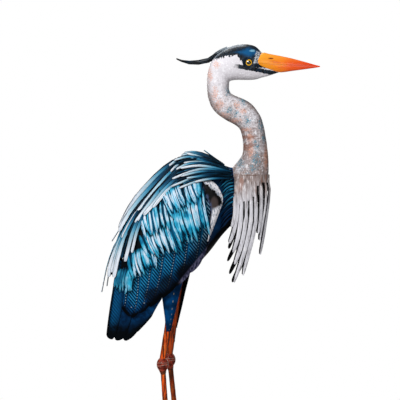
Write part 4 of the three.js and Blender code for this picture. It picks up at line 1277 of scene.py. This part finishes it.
def rustPaint():
    paint = Paint("rustPaint", roughness=0.45, coat=0.15)
    long = paint.grain(300, stretch=(1, 1, 0.06), detail=4, rough=0.6)
    blot = paint.grain(55, stretch=(1, 1, 0.5), detail=3)
    paint.base = paint.colour(long.band(0.42, 0.56), "#8a320d", "#e25616")
    paint.over(blot.band(0.54, 0.66) * 0.6, "#e8762e")
    paint.over(long.band(0.47, 0.40) * 0.8, "#261006")
    paint.over(abs(paint.y).band(0.030, 0.022) * 0.45, "#3a1608")    # painted shade on the inner sides, between the legs
    # darker along the rods' edges as seen from the side: painted shade
    edge = abs((paint.u * 2).fraction() - 0.5) * 2
    paint.over(edge.band(0.30, 0.68) * 0.8 * paint.z.band(0.10, 0.16), "#2b1007")
    paint.over(paint.grain(95, stretch=(1, 1, 0.2)).band(0.60, 0.74) * 0.45, "#5c4a22")
    return paint.finish(long + blot * 0.5, 0.55)


def kneePaint():
    paint = Paint("kneePaint", roughness=0.5, coat=0.1)
    spot = paint.grain(160, detail=4)
    paint.base = paint.colour(spot.band(0.35, 0.65), "#4c1912", "#9c3c2a")
    paint.over((paint.z + (spot - 0.5) * 0.02).band(0.213, 0.200) * 0.85, "#4a2a12")
    return paint.finish(spot, 0.6)


def wirePaint():
    paint = Paint("wirePaint", roughness=0.45)
    paint.base = paint.colour(paint.grain(300), "#7c3d30", "#d9b9a8")
    return paint.finish()


def thighPaint():
    paint = Paint("thighPaint", roughness=0.45, specular=0.02)
    under = paint.attribute("under")
    soft = paint.grain(40, detail=3)
    paint.base = paint.colour(soft.band(0.35, 0.65), "#01203f", "#013a6c")
    # the inner face of the sheet is near black: painted shade
    paint.over(under, "#040506")
    dots = (paint.v * 11).fraction()
    spot = ((dots - 0.5) ** 2.0 + ((paint.u - 0.62) * 9) ** 2.0) ** 0.5
    paint.over(spot.band(0.20, 0.10) * 0.6 * (1 - under), "#a09a88")
    return paint.finish(soft, 0.25)


def rodPiece(name, start, end, radius, endRadius=None):
    way = (end - start).normalized()
    out = Vector((0, 1, 0))
    up = way.cross(out).normalized()

    def ring(down):
        centre = start.lerp(end, down)
        swell = mix(radius, endRadius or radius, down) * (1 + 0.07 * noise.noise(centre * 0.09))
        return centre, up * swell, out * swell, 2
    return smoothed(tubePiece(name, ring, 20, 40), 60)


def weldDrop():
    weld = legs["weld"]
    drop = added(bpy.ops.mesh.primitive_uv_sphere_add, "weld", segments=16, ring_count=10, radius=1)
    for vertex in drop.data.vertices:
        vertex.co = (Vector((weld["x"], legs["spread"], weld["z"])) + vertex.co * weld["radius"]) * metre
    return drop


def kneePiece(name, knee, foot):             # an egg with a collar under it
    def ring(down):
        angle = math.pi * mix(0.02, 0.98, down)
        radius = knees["radius"] * math.sin(angle)
        centre = knee + Vector((0, 0, knees["radius"] * knees["stretch"] * math.cos(angle)))
        return centre, Vector((radius, 0, 0)), Vector((0, radius, 0)), 2
    collar = knees["collar"]
    start, end = knee - Vector((0, 0, collar["drop"])), knee.lerp(foot, collar["end"])
    return joinPieces(name + "KneeBall", [
        tubePiece("ball", ring, 32, 24), rodPiece("collar", start, end, collar["top"], collar["bottom"])])


def kneeWire(knee, tilt, height):            # a ring of wire laid round the egg
    wire = added(bpy.ops.mesh.primitive_torus_add, "wire", major_segments=40, minor_segments=6,
                 major_radius=1, minor_radius=knees["wire"])
    spin = 0.6 * height
    for vertex in wire.data.vertices:
        c = vertex.co
        a = math.atan2(c.y, c.x)
        way = Vector((math.cos(a), math.sin(a) * math.cos(tilt), math.sin(a) * math.sin(tilt)))
        way.z += height / 30 * math.cos(tilt)
        way.normalize()
        way.rotate(Euler((0, 0, spin)))
        way *= knees["radius"] * math.hypot(c.x, c.y) + 0.1
        way.z = way.z * knees["stretch"] + c.z * knees["radius"]
        vertex.co = (knee + way) * metre
    return cleaned(wire)


def thighPiece(name, start, side):           # half a cone of sheet, open towards the other leg
    def place(across, down):
        rise, forward, half, bulge = onCurve(thighs["levels"], down)
        angle = math.pi * across
        return Vector((start.x + forward - half * math.cos(angle),
                       side * (legs["spread"] - 1 + bulge * math.sin(angle)), start.z + rise))
    outer = gridPiece(name + "ThighSheet", 20, 18, place)
    number(outer, "under", 0.0)
    inner = copyOf(outer)
    for vertex in inner.data.vertices:
        vertex.co.y -= side * thighs["wall"] * metre
        vertex.co.x += thighs["rim"] * metre * math.copysign(1, start.x * metre + 0.006 - vertex.co.x)
    number(inner, "under", 1.0)
    thigh = joinPieces(name + "ThighSheet", [outer, inner])
    bpy.ops.object.mode_set(mode="EDIT")
    bpy.ops.mesh.select_all(action="DESELECT")
    bpy.ops.mesh.select_non_manifold()
    bpy.ops.mesh.bridge_edge_loops()
    bpy.ops.object.mode_set(mode="OBJECT")
    return cleaned(thigh)


def toePiece(hub, turn, reach, side):
    way = Vector((math.cos(turn), side * math.sin(turn), 0))
    aside = Vector((-way.y, way.x, 0))

    def ring(down):
        share, height, half = onCurve(feet["sections"], down)
        joint = 1 + 0.10 * math.cos(share * 8 * math.pi)
        centre = hub + way * (reach * share)
        centre.z = plate["thickness"] + 0.4 + height * 0.9
        return centre, Vector((0, 0, min(half, height * 0.9) * joint)), aside * (half * joint), 2
    return tubePiece("toe", ring, 16, 36)


rust, kneeFinish, wireFinish, thighFinish = rustPaint(), kneePaint(), wirePaint(), thighPaint()
for name, side in sides.items():
    hip, knee, foot = (Vector((x, side * legs["spread"], z)) for x, z in legs[name].values())
    rod = rodPiece(name + "UpperRod", knee - Vector((legs["kneeShift"], 0, 0)),
                   hip - Vector((legs["hipShift"], 0, 0)), legs["upper"])
    if name == "left":
        rod = smoothed(joinPieces(name + "UpperRod", [rod, weldDrop()]), 60)
    dress(rod, rust, "leg", name + "_upper_leg")
    dress(rodPiece(name + "ShankRod", foot, knee, legs["shank"]), rust, "leg", name + "_shank")
    dress(smoothed(kneePiece(name, knee, foot), 60), kneeFinish, "leg", name + "_knee")
    wires = [kneeWire(knee, *place) for place in knees["wires"]]
    dress(smoothed(joinPieces(name + "KneeWires", wires)), wireFinish, "leg")
    thigh = thighPiece(name, knee.lerp(hip, thighs["start"]), side)
    dress(smoothed(thigh, 50), thighFinish, "navy", name + "_thigh")

    hub = Vector((foot.x, foot.y, plate["thickness"] + feet["rise"]))
    toes = [added(bpy.ops.mesh.primitive_uv_sphere_add, "hub", segments=24, ring_count=14,
                  radius=feet["hub"] * metre, location=hub * metre)]
    bpy.ops.object.transform_apply()
    toes += [toePiece(hub, turn, reach, side) for turn, reach in feet["toes"]]
    grouped(name + "Toes", toes, 60, rust, "leg", name + "_foot")
print("legs made")


# Base plate: an oval plate with a rounded edge

def platePaint():
    paint = Paint("platePaint", roughness=0.6)
    broad, fine = paint.grain(14, detail=5), paint.grain(120, detail=4)
    paint.base = paint.colour(broad.band(0.38, 0.62), "#2b201b", "#5a3a26")
    paint.over(fine.band(0.58, 0.72) * 0.6, "#8a5430")
    paint.over(fine.band(0.44, 0.34) * 0.5, "#17110e")
    return paint.finish(fine + broad * 0.5, 0.5, roughness=0.45 + fine * 0.3)


size = Vector((plate["length"], plate["width"], plate["thickness"])) * metre
base = added(bpy.ops.mesh.primitive_cylinder_add, "basePlate", vertices=96, radius=0.5, depth=1)
bpy.ops.transform.resize(value=size)
bpy.ops.transform.translate(value=(0, 0, size.z / 2))
bpy.ops.object.transform_apply(location=True, rotation=False, scale=True)
edge = base.modifiers.new("edge", "BEVEL")
edge.width = plate["bevel"] * metre
edge.segments = 4
applyAll(base)
dress(smoothed(base, 40), platePaint(), "steel", "base_plate")
for master in masters.values():
    bpy.data.objects.remove(master, do_unlink=True)
print("base made")


# Floor and light

white = (1, 1, 1, 1)
light = {
    "sky": 0.24, "aim": (0, 0, 0.6),
    "lamps": [("key", (-1.4, -2.8, 2.3), 1.2, 100), ("front", (0.7, -3.4, 1.0), 1.6, 24),
              ("top", (-0.3, 0.5, 3.0), 1.2, 24), ("behind", (-0.6, 3.2, 1.8), 2.0, 55)],
}


def whiteToCamera(tree, output, lit, blank):     # the camera sees blank, and light comes from lit
    seen = tree.make("ShaderNodeLightPath").outputs["Is Camera Ray"]
    both = tree.make("ShaderNodeMixShader", {}, {0: seen, 1: lit, 2: blank.outputs[0]})
    tree.make(output, {"is_active_output": True}, {"Surface": both.outputs[0]})


floor = added(bpy.ops.mesh.primitive_plane_add, "studioFloor", size=24, location=(0, 4, -0.0002))
floorPaint = Paint("floorPaint", roughness=0.9, specular=0.0)
floorPaint.base = "#a8a8a8"
floorPaint.finish()
glow = floorPaint.make("ShaderNodeEmission", {}, {"Color": white, "Strength": 1.0})
whiteToCamera(floorPaint, "ShaderNodeOutputMaterial", floorPaint.shader.outputs[0], glow)
floor.data.materials.append(floorPaint.material)

world = bpy.data.worlds.new("studio")
world.use_nodes = True
bpy.context.scene.world = world
sky = Nodes(world.node_tree)
soft, backdrop = (sky.make("ShaderNodeBackground", {}, {"Color": white, "Strength": strength})
                  for strength in (light["sky"], 1.0))
whiteToCamera(sky, "ShaderNodeOutputWorld", soft.outputs[0], backdrop)
for name, place, size, power in light["lamps"]:
    lamp = added(bpy.ops.object.light_add, name, type="AREA", location=place)
    lamp.data.size = size
    lamp.data.energy = power
    lamp.rotation_euler = (Vector(light["aim"]) - Vector(place)).to_track_quat("-Z", "Y").to_euler()
bpy.context.scene.view_settings.view_transform = "Standard"
